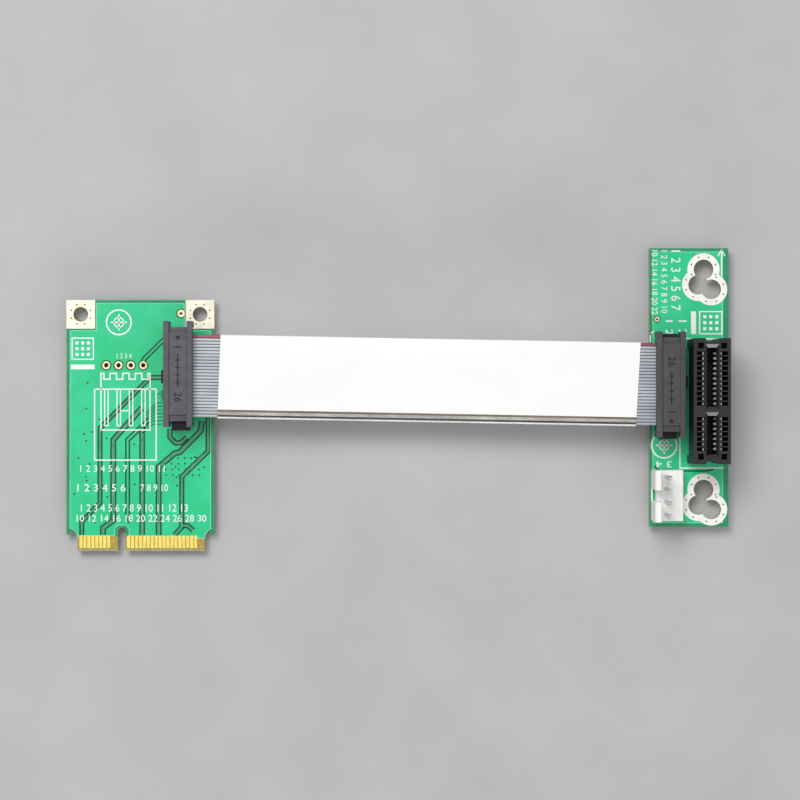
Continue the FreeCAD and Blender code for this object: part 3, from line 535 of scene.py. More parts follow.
# %% Place on the ribbon
RIBBON_WIRES = 26
WIRE_PITCH = 0.635
HALF = RIBBON_WIRES * WIRE_PITCH / 2
SIDE_STEP = 0.28


def on_line(along):
    """Height of the line, and its slope, at a distance from the card's socket."""
    for (x0, z0), (x1, z1) in zip(line_spots, line_spots[1:]):
        if x0 <= along <= x1:
            share = (along - x0) / (x1 - x0)
            return z0 + (z1 - z0) * share, math.atan2(z1 - z0, x1 - x0)
    return (line_spots[0] if along < 0 else line_spots[-1])[1], 0.0


def ripple(along, across):
    """A slow wave of a few hundredths, still at both sockets."""
    calm = min(1.0, max(0.0, (along - 5) / 15), max(0.0, (reach - 5 - along) / 15))
    wave = noise.noise(Vector((along * 0.045, across * 0.07, 3.0)))
    return 0.22 * calm * wave


def ribbon_place(along, across, up):
    """A place on the ribbon, from its own directions to the shared frame."""
    height, slope = on_line(along)
    across -= SIDE_STEP * (1 - along / reach)
    x = along - up * math.sin(slope)
    z = height + ripple(along, across) + up * math.cos(slope)
    return Vector((ends[0].x + x * math.cos(turn) - across * math.sin(turn),
                   ends[0].y + x * math.sin(turn) + across * math.cos(turn), z)) * MM


def band(mesh, section, start, stop, steps, slant=(0.0, 0.0)):
    """Carry a closed section of (across, up) places along the ribbon.

    The slant moves the near edge of each end back along the ribbon.
    """
    loops = []
    for i in range(steps + 1):
        loop = []
        for across, up in section:
            lean = (across / HALF - 1) / 2
            first = start + slant[0] * lean
            last = stop + slant[1] * lean
            along = first + (last - first) * (i / steps)
            loop.append(mesh.verts.new(ribbon_place(along, across, up)))
        loops.append(loop)
    for here, there in zip(loops, loops[1:]):
        skin(mesh, here, there)
    mesh.faces.new(loops[0][::-1])
    mesh.faces.new(loops[-1])


# %% Ribbed wires
POINTS_A_RIB = 8
GROOVE = 0.05


def ribs(first, count):
    """The outline over neighbouring wires: a round ridge on each, a groove between."""
    left = (first - RIBBON_WIRES / 2) * WIRE_PITCH
    top = []
    for wire in range(count):
        for k in range(POINTS_A_RIB):
            share = k / POINTS_A_RIB
            rise = math.sin(math.pi * share) ** 0.5
            up = GROOVE + (RIBBON_THICK / 2 - GROOVE) * rise
            top.append((left + (wire + share) * WIRE_PITCH, up))
    top.append((left + count * WIRE_PITCH, GROOVE))
    return top + [(across, -up) for across, up in reversed(top)]


jacket = dict(mottle=300, rough=(0.35, 0.5), grain=3000, squeeze=(0.3, 1, 1))
# The groove colours paint shade on the steep sides of each rib.
grey_jacket = finish("ribbon_grey", (166, 171, 180), (198, 202, 209),
                     groove=(70, 74, 84), **jacket)
red_jacket = finish("ribbon_red", (142, 62, 80), (170, 88, 106),
                    groove=(70, 18, 30), **jacket)
for name, first, count, material, slot, node in (
        ("ribbon_ribs", 0, RIBBON_WIRES - 1, grey_jacket, "wire_grey", "ribbon_wires"),
        ("ribbon_red_edge", RIBBON_WIRES - 1, 1, red_jacket, "wire_red",
         "ribbon_marked_wire")):
    wires = bmesh.new()
    band(wires, ribs(first, count), -GRIP, reach + GRIP, 80)
    piece(name, wires, material, slot, node)

# %% [markdown]
# ## Foil and film
#
# A shielded ribbon is wrapped in thin metal foil, and white film is stuck over the
# foil on both faces. The upper film stops short of one edge. A strip of foil shows
# there, and in it the layers can be read: a brownish line along the film's edge, bare
# foil, a dark strip of painted shade in the gap beside the rolled edge, and the rolled
# edge of the foil as a thin bead with a painted highlight.

# %% Places along and across the wrap
WRAP = (8.25, reach - 6.1)
WRAP_SLANT = (0.28, 0.6)
FAR_EDGE = HALF + 0.03
NEAR_EDGE = -HALF - 0.22
FILM_EDGE = FAR_EDGE - 14.95
FOIL_IN = RIBBON_THICK / 2 + 0.03
FOIL_OUT = FOIL_IN + 0.08
FILM_OUT = FOIL_OUT + 0.06


def strip(left, right, low, high, columns=12):
    """A thin oblong section with enough columns to follow the ripple."""
    spots = [left + (right - left) * i / columns for i in range(columns + 1)]
    return [(across, low) for across in spots] + [(across, high) for across in spots[::-1]]


# %% Foil, film, brown edge line, painted gap shade and bead highlight
foil = finish("foil_silver", (150, 149, 145), (192, 191, 186), rough=(0.25, 0.4),
              grain=900, height=0.03, squeeze=(0.4, 1, 1), Metallic=0.7)
# The rolled edge is paler than the foil it is rolled from: a painted highlight.
rolled_highlight = finish("foil_rolled_edge_highlight", (214, 214, 214), (246, 246, 246), mottle=400,
                rough=(0.2, 0.35), grain=900, height=0.02, squeeze=(0.2, 1, 1),
                Metallic=0.5)
narrow = dict(grain=1500, height=0.02, squeeze=(0.2, 1, 1))
edge_brown = finish("film_edge_brown", (92, 82, 66), (128, 116, 96), mottle=600,
              rough=(0.4, 0.6), **narrow)
# Painted shade: a dark strip for the shadowed gap beside the foil's rolled edge.
gap_shade = finish("foil_gap_shade", (34, 34, 34), (66, 66, 66), rough=(0.5, 0.7), **narrow)
film = finish("film_white", (246, 246, 244), (252, 252, 252), mottle=60,
              rough=(0.25, 0.4), grain=200, height=0.04, squeeze=(0.5, 1, 1))
BEAD = 0.21
bead = [(NEAR_EDGE + BEAD + BEAD * math.cos(a), 0.12 + 0.4 * math.sin(a))
        for a in (2 * math.pi * k / 12 for k in range(12))]
layers = (
    ("foil_wrap", strip(NEAR_EDGE + 0.1, FAR_EDGE, -FOIL_OUT, FOIL_OUT), foil,
     "foil_silver", "ribbon_foil_wrap"),
    ("foil_rolled_edge_highlight", bead, rolled_highlight, "foil_silver"),
    ("film_over", strip(FILM_EDGE, FAR_EDGE, FOIL_OUT, FILM_OUT), film,
     "film_white", "ribbon_film_top"),
    ("film_under", strip(NEAR_EDGE + 0.1, FAR_EDGE, -FILM_OUT, -FOIL_OUT), film,
     "film_white", "ribbon_film_bottom"),
    ("film_edge_line", strip(FILM_EDGE - 0.42, FILM_EDGE, FOIL_OUT, FOIL_OUT + 0.03, 2),
     edge_brown, "film_white"),
    ("foil_gap_shade", strip(NEAR_EDGE + 0.4, NEAR_EDGE + 0.78, FOIL_OUT - 0.02,
                        FOIL_OUT + 0.02, 2), gap_shade, "foil_silver"),
)
for name, section, material, slot, *node in layers:
    layer = bmesh.new()
    band(layer, section, *WRAP, 60, WRAP_SLANT)
    piece(name, layer, material, slot, *node)

# %% [markdown]
# ## Soft moulded edges
#
# No moulded plastic part has knife edges: the mould is slightly rounded, and each edge
# catches a thin line of light. Those edges are too fine for the CAD model. Here each
# plastic node is copied, its split corners are welded, and a Bevel modifier rounds its
# sharp edges by about a tenth of a millimetre. The copy then stands for the node.

# %% Round the edges of a moulded node
def softened(node, radius, material, slot, segments=2):
    """A copy of a CAD node with rounded edges, which replaces the node."""
    mesh = bmesh.new()
    mesh.from_mesh(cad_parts[node].data)
    bmesh.ops.remove_doubles(mesh, verts=mesh.verts, dist=0.001 * MM)
    bmesh.ops.dissolve_limit(mesh, angle_limit=math.radians(1), verts=mesh.verts,
                             edges=mesh.edges)
    made = piece(f"{node}_moulded", mesh, material, slot, node)
    bevel = made.modifiers.new("edges", "BEVEL")
    bevel.width = radius * MM
    bevel.segments = segments
    bevel.limit_method = "ANGLE"
    bevel.angle_limit = math.radians(35)
    graph = bpy.context.evaluated_depsgraph_get()
    rounded = bpy.data.meshes.new_from_object(made.evaluated_get(graph))
    made.modifiers.clear()
    made.data = rounded
    print(node, "now has", len(rounded.polygons), "faces")


for side, cover in (("card", card_cover), ("slot", slot_cover)):
    softened(f"{side}_socket_body", 0.12, charcoal, "socket_black")
    softened(f"{side}_socket_cover", 0.15, cover, "cover_black", 3)
softened("slot_housing", 0.07, slot_black, "slot_black")
softened("power_header_housing", 0.14, nylon, "power_white", 3)

# %% [markdown]
# ## Mouldings on the ribbon sockets
#
# The cover presses the ribbon onto the forked contacts and snaps over the socket's
# ends. Its top has a sunken panel with a raised middle field. On the field stand a
# small triangle that marks the first pin, plain pin numbers at both ends and a line
# with four ticks between them. All are about a tenth of a millimetre high, and they
# are made in the darker socket charcoal: painted shade, for the shadows by which
# moulded marks show.

# %% Plain numbers in Blender's own font
def numbers(mesh, text, x, y, height, low, high, angle=0.0, width=None):
    """Add plain digits to a mesh being built, about their middle."""
    lettering = bpy.data.curves.new("numbers", "FONT")
    lettering.body = text
    lettering.size = 1.0
    lettering.extrude = 0.5
    lettering.resolution_u = 3
    lettering.align_x = lettering.align_y = "CENTER"
    holder = bpy.data.objects.new("numbers", lettering)
    digits = bpy.data.meshes.new_from_object(holder)
    xs, ys = ([v.co[axis] for v in digits.vertices] for axis in (0, 1))
    tall = max(ys) - min(ys)
    stretch = width / (max(xs) - min(xs)) if width else height / tall
    shape = (Matrix.Translation(Vector((x, y, (low + high) / 2)) * MM)
             @ Matrix.Rotation(angle, 4, "Z")
             @ Matrix.Diagonal((stretch * MM, height / tall * MM, (high - low) * MM, 1)))
    digits.transform(shape)
    added = bmesh.new()
    added.from_mesh(digits)
    bmesh.ops.remove_doubles(added, verts=added.verts, dist=1e-7)
    added.to_mesh(digits)
    added.free()
    mesh.from_mesh(digits)
    bpy.data.objects.remove(holder)
    bpy.data.meshes.remove(digits)


# %% Panel field, first-pin mark and pin numbers on both covers
PANEL_DEPTH = 0.2
MARK_PEN = 0.22
DIGIT_HEIGHT = 1.5
for side, flip, cover in (("card", 1, card_cover), ("slot", -1, slot_cover)):
    low, high = span(f"{side}_socket_cover")
    x = (low.x + high.x) / 2
    y = (low.y + high.y) / 2
    panel = high.z - PANEL_DEPTH
    raised = (panel, panel + 0.14)
    field = bmesh.new()
    block(field, x, y, 2.2, 13.4, panel - 0.05, panel + 0.06)
    for step in (-1, 1):
        block(field, x, y + step * 8.75, 3.2, 0.14, high.z - 0.65, high.z - 0.42)
    piece(f"{side}_cover_field", field, cover, "cover_black")
    marks = bmesh.new()
    for text, place in (("1", 5.4), ("26", -4.6)):
        numbers(marks, text, x, y + flip * place, DIGIT_HEIGHT, *raised, -math.pi / 2)
    line(marks, [(x, y + flip * 4.0), (x, y - flip * 2.6)], MARK_PEN, *raised)
    for k in range(4):
        tick = y + flip * (2.8 - 1.5 * k)
        line(marks, [(x - 0.5, tick), (x + 0.5, tick)], MARK_PEN, panel, panel + 0.139)
    prism(marks, [(x - 0.5, y + flip * 7.6), (x + 0.5, y + flip * 7.6),
                  (x, y + flip * 6.7)], *raised)
    # The marks take the darker socket charcoal: painted shade for the shadows that show
    # moulded marks.
    piece(f"{side}_cover_marks", marks, charcoal, "cover_black")

# %% [markdown]
# ## Noses of the spring contacts
#
# Each spring contact ends in a rounded nose that reaches into the slot's mouth and
# rubs on the card. The CAD strip only bends there, so the rounded nose is added: a
# short bar across the strip, with the profile of the bend.

# %% A nose on each spring
FIRST_CONTACT = 9.5
CONTACTS = [*range(11), *range(13, 20)]
NOSE = [(0.88, 8.72), (0.56, 8.3), (0.5, 8.1), (0.56, 7.9), (0.88, 7.5)]
housing = middle("slot_housing")
board_top = span("slot_board")[1].z
noses = bmesh.new()
for sign in (-1, 1):
    for k in CONTACTS:
        y = housing.y + FIRST_CONTACT - k
        near, far = ([noses.verts.new(Vector((housing.x + sign * across, side_y,
                                              board_top + up)) * MM)
                      for across, up in NOSE] for side_y in (y - 0.18, y + 0.18))
        noses.faces.new(near)
        noses.faces.new(far[::-1])
        skin(noses, near, far)
piece("contact_noses", noses, bronze, "contact_spring")

# %% [markdown]
# ## Copper under the lacquer
#
# Most of each board is one sheet of copper, the pour. Lacquer over copper looks
# bright green. Lacquer over bare laminate looks dark, so the pour's edge shows as a
# step, and a copper line that runs through the pour shows as a stripe between two dark
# channels. The pale rim along the pour's edge is a painted highlight, the light caught
# by the step. Painting these as colours would stay flat. Here every layer is a real
# sheet a few hundredths of a millimetre high, stacked as on the board: pour,
# channels, lines, print.

# %% Layer heights above a board's face, in millimetres
BARE = (0.0, 0.012)
POUR = (0.0, 0.02)
CHANNEL = (0.015, 0.026)
COPPER = (0.015, 0.032)
PRINT = (0.02, 0.042)
RING = (0.0, 0.04)
PLUG = (0.0, 0.03)
TIN = (0.0, 0.05)
DOT = (0.03, 0.056)
VIA = 0.16

pour_finish = finish("lacquer_on_copper", (20, 197, 130), (42, 209, 148),
                     mottle=160, rough=(0.28, 0.36), grain=1400, height=0.012)
smooth = dict(rough=(0.28, 0.36), grain=2000)
# Painted highlight: the pale line along the pour's edge.
rim_highlight = finish("lacquer_rim_highlight", (120, 222, 180), (160, 236, 204), mottle=600, **smooth)
line_finish = finish("lacquer_on_line", (46, 142, 100), (74, 168, 126), **smooth)
channel_finish = finish("lacquer_channel", (0, 54, 30), (4, 76, 46), mottle=600,
                        rough=(0.4, 0.5), grain=2000, Specular_IOR_Level=0.3)
print_finish = finish("print_white", (236, 242, 238), (250, 252, 250), mottle=900,
                      rough=(0.5, 0.65), grain=5000, height=0.006)
laminate = finish("bare_laminate", (158, 132, 48), (190, 164, 74), mottle=900,
                  rough=(0.45, 0.6), grain=2600, squeeze=(1, 2.5, 1))
ring_gold = finish("ring_gold", (222, 202, 146), (248, 238, 204), mottle=900,
                   rough=(0.3, 0.42), height=0.006, Metallic=0.6)
# Painted shade: the dark inside of an open hole, laid on the board as a dark disc.
hole_shade = finish("drilled_hole_shade", (16, 26, 20), (34, 44, 34), mottle=2000,
                 rough=(0.6, 0.8), grain=4000)
# The sleeve's brown is partly plated copper and partly painted shade on the hole's wall.
sleeve_shade = finish("hole_sleeve", (104, 86, 52), (140, 120, 78), mottle=1500,
                       rough=(0.4, 0.6), grain=3000, Metallic=0.4)


# %% Places and layers on a board
class Board:
    """Turns a board's own places into the shared frame, on its top or its underside."""

    def __init__(self, node, slot):
        low, high = span(node)
        self.x = (low.x + high.x) / 2
        self.y = (low.y + high.y) / 2
        self.top = high.z
        self.under = low.z
        self.name = node.replace("_board", "")
        self.slot = slot

    def spot(self, x, y):
        return self.x + x, self.y + y

    def at(self, points):
        return [self.spot(x, y) for x, y in points]

    def up(self, layer):
        return self.top + layer[0], self.top + layer[1]

    def down(self, layer):
        return self.under - layer[1], self.under - layer[0]

    def line(self, mesh, points, width, layer):
        line(mesh, self.at(points), width, *self.up(layer))

    def dots(self, mesh, x, y):
        """A via's tiny disc on each face, at a place in the shared frame."""
        for face in (self.up, self.down):
            disc(mesh, x, y, VIA, *face(DOT), 12)

    def add(self, name, mesh, material):
        return piece(f"{self.name}_{name}", mesh, material, self.slot)


card = Board("mini_card_board", "card_mask")
lane = Board("slot_board", "slot_board_mask")

# %% [markdown]
# ## The mini card's pour and tongue
#
# The pour stops short of the sawn edges, of the two screw pads and of the gold
# fingers. It curves in at the corners of the tongue. The lacquer ends above the
# fingers, so the tongue between and below them is bare laminate.

# %% Cut and join sheets with Boolean modifiers
def combined(mesh, steps):
    """Join or cut one mesh with others; steps are (operation, mesh) in order."""
    base = finished("tool", mesh)
    used = [base]
    for operation, tool in steps:
        used.append(finished("tool", tool))
        step = base.modifiers.new("step", "BOOLEAN")
        step.operation = operation
        step.solver = "EXACT"
        step.object = used[-1]
    graph = bpy.context.evaluated_depsgraph_get()
    made = bmesh.new()
    made.from_mesh(base.evaluated_get(graph).to_mesh())
    for item in used:
        bpy.data.objects.remove(item)
    return made


def drilled_sheet(outline, layer, spots):
    """A sheet with round holes; spots are (x, y, radius)."""
    sheet = bmesh.new()
    prism(sheet, outline, *layer)
    drills = []
    for x, y, radius in spots:
        drill = bmesh.new()
        disc(drill, x, y, radius, layer[0] - 1, layer[1] + 1, 40)
        drills.append(("DIFFERENCE", drill))
    return combined(sheet, drills)


# %% The card's pour and the bare tongue
hollow_left = round_points(-14.9, -22.9, 2.2, 6, math.pi / 2, -math.pi / 2)
hollow_right = round_points(14.9, -22.9, 2.2, 6, math.pi, -math.pi / 2)
outline = [(-14.25, -20.8), *hollow_left[1:], (-12.6, -22.35),
           (-5.2, -22.35), (-5.2, -20.9), (-4.6, -20.2), (-2.9, -20.2), (-2.3, -20.9),
           (-2.3, -22.35), *((x + 0.3, y) for x, y in hollow_right[:-1]),
           (14.25, -20.8), (14.25, 19.25), (8.9, 19.25), (8.9, 24.75),
           (-8.9, 24.75), (-8.9, 19.25), (-14.25, 19.25)]
RIM_WIDTH = 0.13
spare_holes = card.at([(-6.94 + 2.5 * k, 12.24) for k in range(4)])
for face, tag in ((card.up, "top"), (card.down, "under")):
    sheet = drilled_sheet(card.at(outline), face(POUR),
                          [(x, y, 0.7) for x, y in spare_holes])
    card.add(f"pour_{tag}", sheet, pour_finish)
# The pale rim is a painted highlight along the pour's edge.
rim = bmesh.new()
card.line(rim, outline + outline[:2], RIM_WIDTH, COPPER)
card.add("pour_rim", rim, rim_highlight)
bare = bmesh.new()
for left, right in ((-12.7, -4.6), (-2.95, 13.0)):
    for face in (card.up, card.down):
        block(bare, *card.spot((left + right) / 2, -23.7), right - left, 2.4, *face(BARE))
card.add("bare_laminate", bare, laminate)

# %% [markdown]
# ## Copper lines on the card
#
# Each line is drawn twice: a wide dark channel, and the copper on top of it. The
# corners are cut at 45 degrees, as a board designer lays them.

# %% Lines from the socket to the edge fingers
wide_lines = (
    (0.42, ((4.2, 9.75), (2.0, 9.75), (-8.2, -0.5), (-8.2, -15.7), (-11.9, -19.5),
            (-11.9, -22.2))),
    (0.62, ((0.3, 3.6), (-5.5, -2.9), (-5.5, -19.2), (-7.6, -20.8), (-7.6, -22.2))),
    (0.56, ((0.35, -0.3), (0.35, -22.2))),
    (0.62, ((12.5, 0.9), (12.2, -1.1), (8.0, -5.4), (7.0, -5.6), (3.7, -8.4),
            (3.7, -22.2))),
    (0.46, ((13.75, 3.4), (13.75, -5.2), (8.4, -10.4), (8.4, -20.6), (6.9, -22.2))),
    (0.46, ((8.6, -20.3), (9.6, -20.3), (10.7, -21.3))),
    (0.5, ((6.0, -0.6), (6.0, -2.4), (7.1, -3.5), (8.2, -3.5), (9.4, -2.4))),
)
bright_lines = (
    (0.4, ((1.8, 1.2), (-2.6, -2.9), (-2.6, -18.5), (-1.9, -19.6))),
    (0.4, ((0.55, 12.9), (0.75, 13.5), (4.8, 17.5))),
)
GAP = 0.31
HAIRLINE = 0.17
channels = bmesh.new()
copper = bmesh.new()
bright = bmesh.new()
for lines, mesh in ((wide_lines, copper), (bright_lines, bright)):
    for width, points in lines:
        card.line(channels, points, width + 2 * GAP, CHANNEL)
        card.line(mesh, points, width, COPPER)
for k in range(7):
    y = 4.6 - 0.72 * k
    card.line(channels, [(4.5, y), (3.2 - 0.1 * k, y), (0.9 - 0.15 * k, y - 2.3)],
              HAIRLINE, CHANNEL)
for k in range(3):
    card.line(channels, [(3.4 + 0.5 * k, 6.1 - 0.6 * k), (4.6, 7.2 - 0.3 * k)],
              HAIRLINE, CHANNEL)
card.add("channels", channels, channel_finish)
card.add("copper_lines", copper, line_finish)
card.add("bright_lines", bright, pour_finish)

# %% [markdown]
# ## Holes with copper rings
#
# A plated hole has a copper ring around it, and a dark gap parts the ring from the
# pour. Small vias, which join the two faces, are scattered where the designer needed
# them. They are only dots, so a dark disc with a paler lip is enough: the dark disc is
# painted shade, the darkness inside the open hole.

# %% The empty connector place and one plated hole
rings = bmesh.new()
gaps = bmesh.new()
cores = bmesh.new()
for x, y in spare_holes:
    for face in (card.up, card.down):
        ring(rings, x, y, 0.8, 0.46, *face(RING))
        ring(gaps, x, y, 1.04, 0.79, *face(CHANNEL))
x, y = card.spot(8.25, 22.75)
ring(gaps, x, y, 0.98, 0.74, *card.up(CHANNEL))
ring(rings, x, y, 0.75, 0.3, *card.up(RING))
disc(cores, x, y, 0.31, *card.up(PLUG))

# %% Scattered vias
places = random.Random(11)
lips = bmesh.new()
scattered = [(places.uniform(-13.4, 13.4), places.uniform(-20.0, 9.0)) for _ in range(60)]
for i in range(6):
    for j in range(4):
        scattered.append((4.9 + 1.35 * i + 0.1 * j, -6.6 - 1.15 * j))
for x, y in scattered:
    if abs(x + 5.5) < 1.0 or abs(x - 3.7) < 1.0 or 1.0 < x < 12.0 and y > -1.5:
        continue
    px, py = card.spot(x, y)
    disc(lips, px, py, VIA + 0.08, *card.up((0.0, 0.028)), 12)
    disc(cores, px, py, VIA, *card.up((0.0, 0.032)), 10)

# %% Screw holes with their sleeves and small vias
SCREW_RADIUS = 1.5
sleeves = bmesh.new()
for sign in (-1, 1):
    x, y = card.spot(sign * 12.1, 22.575)
    # A brown sleeve inside each hole: partly plated copper, partly painted shade.
    ring(sleeves, x, y, SCREW_RADIUS, SCREW_RADIUS - 0.07, card.under + 0.01,
         card.top + 0.03, 48)
    for spot in round_points(x, y, 2.1, 8, math.radians(22.5)):
        card.dots(cores, *spot)
for name, mesh, material in (
        ("hole_sleeves", sleeves, sleeve_shade), ("rings", rings, ring_gold),
        ("ring_gaps", gaps, channel_finish), ("via_lips", lips, line_finish),
        ("via_cores", cores, hole_shade)):
    card.add(name, mesh, material)

# %% [markdown]
# ## White print on the card
#
# The print shows the outline of the connector that may be fitted, rows of plain
# numbers and plain marks: a ring with a cross, a framed field of squares and a bar.
# Screen print is thick enough to cast a hairline of shadow.

# %% Outline of the connector place
PEN = 0.26
mark = bmesh.new()
crown = [(-8.0, -0.9), (-8.0, 10.6)]
for k in range(4):
    left = -7.4 + 2.56 * k
    crown += [(left, 10.6), (left, 9.4), (left + 1.25, 9.4), (left + 1.25, 10.6)]
crown += [(1.95, 10.6), (1.95, -0.9), (-8.13, -0.9)]
card.line(mark, crown, PEN, PRINT)
card.line(mark, [(-9.3, 7.4), (3.2, 7.4), (3.2, -7.0), (-9.3, -7.0), (-9.3, 7.53)], PEN,
          PRINT)
for x in (-6.9, -4.4, -1.9, 0.6):
    card.line(mark, [(x - 0.35, 7.3), (x - 0.35, 0.0), (x + 0.35, 0.0), (x + 0.35, 7.3)],
              0.22, PRINT)
card.line(mark, [(-4.0, 3.0), (-2.3, 3.0)], 0.24, PRINT)


# %% Plain marks and rows of numbers
def ring_mark(mesh, board, x, y, radius):
    """A ring with a cross inside it, as printers use to line up their layers."""
    reach = radius * 0.62
    small = radius * 0.42
    ring(mesh, *board.spot(x, y), radius, radius - 0.3, *board.up(PRINT), 48)
    board.line(mesh, [(x - reach, y), (x + reach, y)], 0.28, PRINT)
    board.line(mesh, [(x, y - reach), (x, y + reach)], 0.28, PRINT)
    ring(mesh, *board.spot(x, y), small, small - 0.24, *board.up(PRINT))


def field_mark(mesh, board, x, y, side):
    """A frame with three rows of small squares in it."""
    a = side / 2
    board.line(mesh, [(x - a, y - a), (x + a, y - a), (x + a, y + a), (x - a, y + a),
                      (x - a, y - a - 0.1)], 0.24, PRINT)
    for i in (-1, 0, 1):
        for j in (-1, 0, 1):
            px, py = board.spot(x + i * side * 0.27, y + j * side * 0.27)
            block(mesh, px, py, side * 0.14, side * 0.14, *board.up(PRINT))


def print_row(mesh, board, text, x, y, width, height, angle=0.0):
    """A row of numbers about its middle, stretched to its width."""
    numbers(mesh, text, *board.spot(x, y), height, *board.up(PRINT), angle, width)


ring_mark(mark, card, -4.38, 20.95, 2.65)
field_mark(mark, card, -11.7, 15.6, 4.3)
block(mark, *card.spot(-11.7, 11.9), 4.8, 0.95, *card.up(PRINT))
for text, left, right, y, height in (
        ("1 2 3 4", -4.9, -1.9, 14.1, 1.0),
        ("1 2 3 4 5 6 7 8 9 10 11", -12.2, 4.9, -8.8, 1.35),
        ("1 2 3 4 5 6", -13.0, -3.2, -12.7, 1.5),
        ("7 8 9 10", 0.0, 5.6, -12.7, 1.4),
        ("1 2 3 4 5 6 7 8 9 10 11 12 13", -12.2, 9.5, -16.8, 1.5),
        ("10 12 14 16 18 20 22 24 26 28 30", -13.1, 13.2, -18.9, 1.4)):
    print_row(mark, card, text, (left + right) / 2, y, right - left, height)
card.add("print", mark, print_finish)

# %% [markdown]
# ## The slot board's layers
#
# The slot board is finished in the same order: pour, rim, print. Its two screw holes
# are clovers of three overlapping rounds, so one board fits three screw patterns. Each
# clover has a broad tinned band around it, on both faces.

# %% Pour and edges
ROUND = 1.98
LOBES = ((0, 0), (-1.08, -3.13), (1.55, -4.03))
CLOVERS = [lane.at([(2.97 + dx, 1.6 + side * 22.3 + dy) for dx, dy in LOBES])
           for side in (1, -1)]
left, right, top = -7.3, 6.85, 27.45
outline = lane.at([(left, -top), (right, -top), (right, top), (left, top)])
spots = [(x, y, ROUND + 0.4) for clover in CLOVERS for x, y in clover]
for face, tag in ((lane.up, "top"), (lane.down, "under")):
    lane.add(f"pour_{tag}", drilled_sheet(outline, face(POUR), spots), pour_finish)
# The pale rim is a painted highlight along the pour's edge.
rim = bmesh.new()
lane.line(rim, [(left, top), (left, -top), (right, -top), (right, top),
                (left - 0.07, top)], RIM_WIDTH, COPPER)
lane.add("pour_rim", rim, rim_highlight)

# %% [markdown]
# ## Clover bands
#
# A band that follows three overlapping rounds is hard to draw by hand. Three wide
# discs are joined with Boolean modifiers, and three narrow ones are cut out. The
# Boolean tool finds every crossing by itself.

# %% Bands of three joined discs
def joined_discs(spots, outer, inner, layer):
    """The flat band between wide discs and narrow discs on the same places."""
    low, high = layer
    steps = []
    for operation, radius, start, stop in (("UNION", outer, low, high),
                                           ("DIFFERENCE", inner, low - 1, high + 1)):
        for x, y in spots:
            steps.append((operation, bmesh.new()))
            disc(steps[-1][1], x, y, radius, start, stop, 64)
    return combined(steps[0][1], steps[1:])


# %% Bands and their small vias
dots = bmesh.new()
for number, spots in enumerate(CLOVERS):
    for face, tag in ((lane.up, "top"), (lane.down, "under")):
        clover = joined_discs(spots, ROUND + 1.28, ROUND + 0.01, face(TIN))
        piece(f"clover_{number}_{tag}", clover, clover_tin, "pad_tin")
    for centre in spots:
        for spot in round_points(*centre, 2.65, 8, math.radians(22.5)):
            if all(math.dist(spot, other) > ROUND + 0.35
                   for other in spots if other != centre):
                lane.dots(dots, *spot)

# %% Gaps in the pour and one plated hole
channels = bmesh.new()
for points in (((-7.0, -15.9), (-6.2, -16.7), (-3.0, -16.7)),
               ((-1.4, -16.95), (3.6, -16.95), (4.4, -16.7), (5.0, -16.7))):
    lane.line(channels, points, 0.3, CHANNEL)
x, y = lane.spot(-6.42, 13.8)
rings = bmesh.new()
ring(channels, x, y, 0.72, 0.52, *lane.up(CHANNEL))
ring(rings, x, y, 0.52, 0.24, *lane.up(RING))
disc(dots, x, y, 0.25, *lane.up(PLUG))
lane.add("channels", channels, channel_finish)
lane.add("rings", rings, ring_gold)
lane.add("via_cores", dots, hole_shade)

# %% [markdown]
# ## White print on the slot board
#
# The rows of plain numbers run down the board here, and an arrow shows which way the
# connectors count. The corner of the slot's outline shows beside the housing.

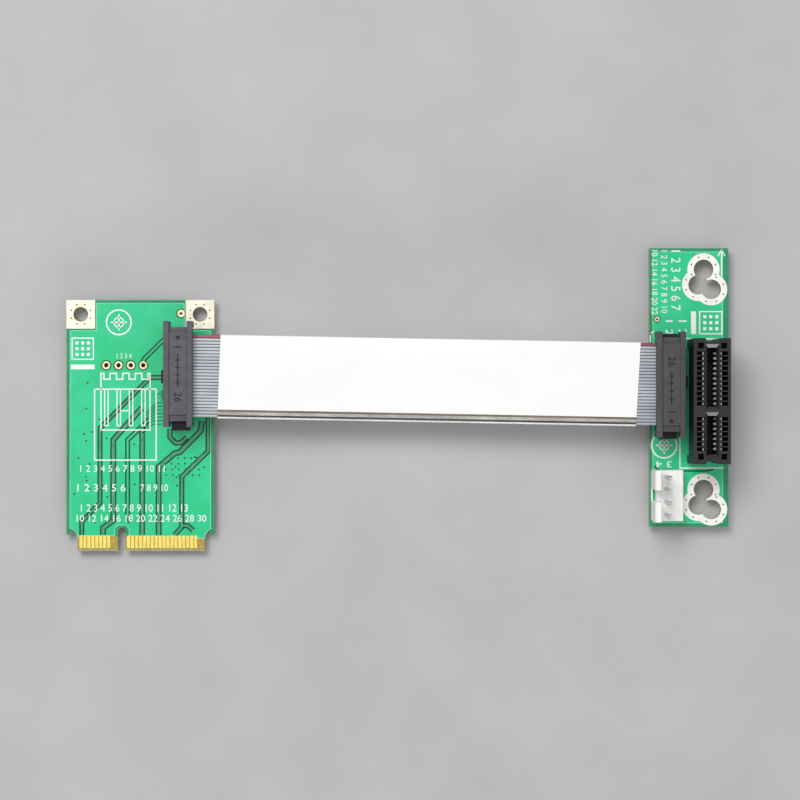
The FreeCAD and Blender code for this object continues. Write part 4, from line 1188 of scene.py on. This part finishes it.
# %% Rows, marks and arrow
mark = bmesh.new()
for text, x, high, low, height in (
        ("1 2 3 4 5 6 7", -2.75, 28.0, 15.8, 1.9),
        ("1 2 3 4 5 6 7 8 9 10", -5.05, 27.9, 15.2, 1.2),
        ("10 12 14 16 18 20 22", -7.0, 27.9, 14.9, 1.2),
        ("1 2", -1.35, 13.8, 10.8, 1.6),
        ("1 2", -4.05, 13.8, 10.8, 1.4)):
    print_row(mark, lane, text, x, (high + low) / 2, high - low, height, -math.pi / 2)
print_row(mark, lane, "3 4", -5.05, -15.5, 3.2, 1.3, math.pi)
ring_mark(mark, lane, -5.0, -11.75, 2.7)
field_mark(mark, lane, 4.45, 13.1, 4.5)
block(mark, *lane.spot(0.95, 13.1), 1.0, 4.6, *lane.up(PRINT))
for width, points in (
        (0.22, ((6.62, 27.9), (6.62, 22.6))),
        (0.22, ((5.9, 26.6), (6.62, 27.9), (7.34, 26.6))),
        *((0.2, ((6.35, y), (6.9, y))) for y in (22.0, 21.3, 20.6)),
        (0.24, ((-1.8, -10.0), (-1.8, -16.35), (7.0, -16.35))),
        (0.24, ((-1.8, 8.9), (-1.8, 9.85), (7.0, 9.85))),
        (0.26, ((-7.8, 10.6), (-7.8, 9.1))),
        (0.26, ((-7.7, 10.9), (-7.1, 11.4)))):
    lane.line(mark, points, width, PRINT)
lane.add("print", mark, print_finish)

# %% [markdown]
# ## Solder on the underside
#
# Every pin and contact goes through its board and is soldered below. The solder climbs
# the tail in a hollow cone: broad on the pad, thin on the metal. A cone of five rings
# shows that curve, and its last ring hugs the tail.

# %% One fillet
FILLET_SIDES = 14


def fillet(mesh, x, y, under, pad, tail, height):
    """A hollow cone of solder that hangs from a pad and hugs a tail."""
    levels = ((0.0, pad), (0.04, pad), (0.25 * height, pad * 0.66 + tail * 0.2),
              (0.6 * height, tail * 1.25), (height, tail))
    loops = [corners(mesh, round_points(x, y, radius, FILLET_SIDES), under - depth)
             for depth, radius in levels]
    for here, there in zip(loops, loops[1:]):
        skin(mesh, here, there)
    mesh.faces.new(loops[0])
    mesh.faces.new(loops[-1][::-1])


# %% All the joints
solder_finish = finish("solder", (176, 178, 180), (216, 217, 216), mottle=700,
                       rough=(0.22, 0.4), grain=1800, height=0.02, Metallic=0.85)
PIN_PITCH = 1.27
POST_PITCH = 2.54
posts = middle("power_header_posts")
joints = bmesh.new()
for end in ends:
    for k in range(13):
        for sign in (-1, 1):
            fillet(joints, end.x + sign * PIN_PITCH / 2, end.y + (k - 6) * PIN_PITCH,
                   lane.under, 0.46, 0.27, 0.75)
for sign in (-1, 1):
    for offset, odd in ((1.25, 0), (3.05, 1)):
        for k in CONTACTS:
            if k % 2 == odd:
                fillet(joints, housing.x + sign * offset, housing.y + FIRST_CONTACT - k,
                       lane.under, 0.44, 0.28, 0.7)
for k in range(4):
    fillet(joints, posts.x, posts.y + (k - 1.5) * POST_PITCH, lane.under, 0.85, 0.46, 0.95)
piece("solder_joints", joints, solder_finish, "pin_tin")
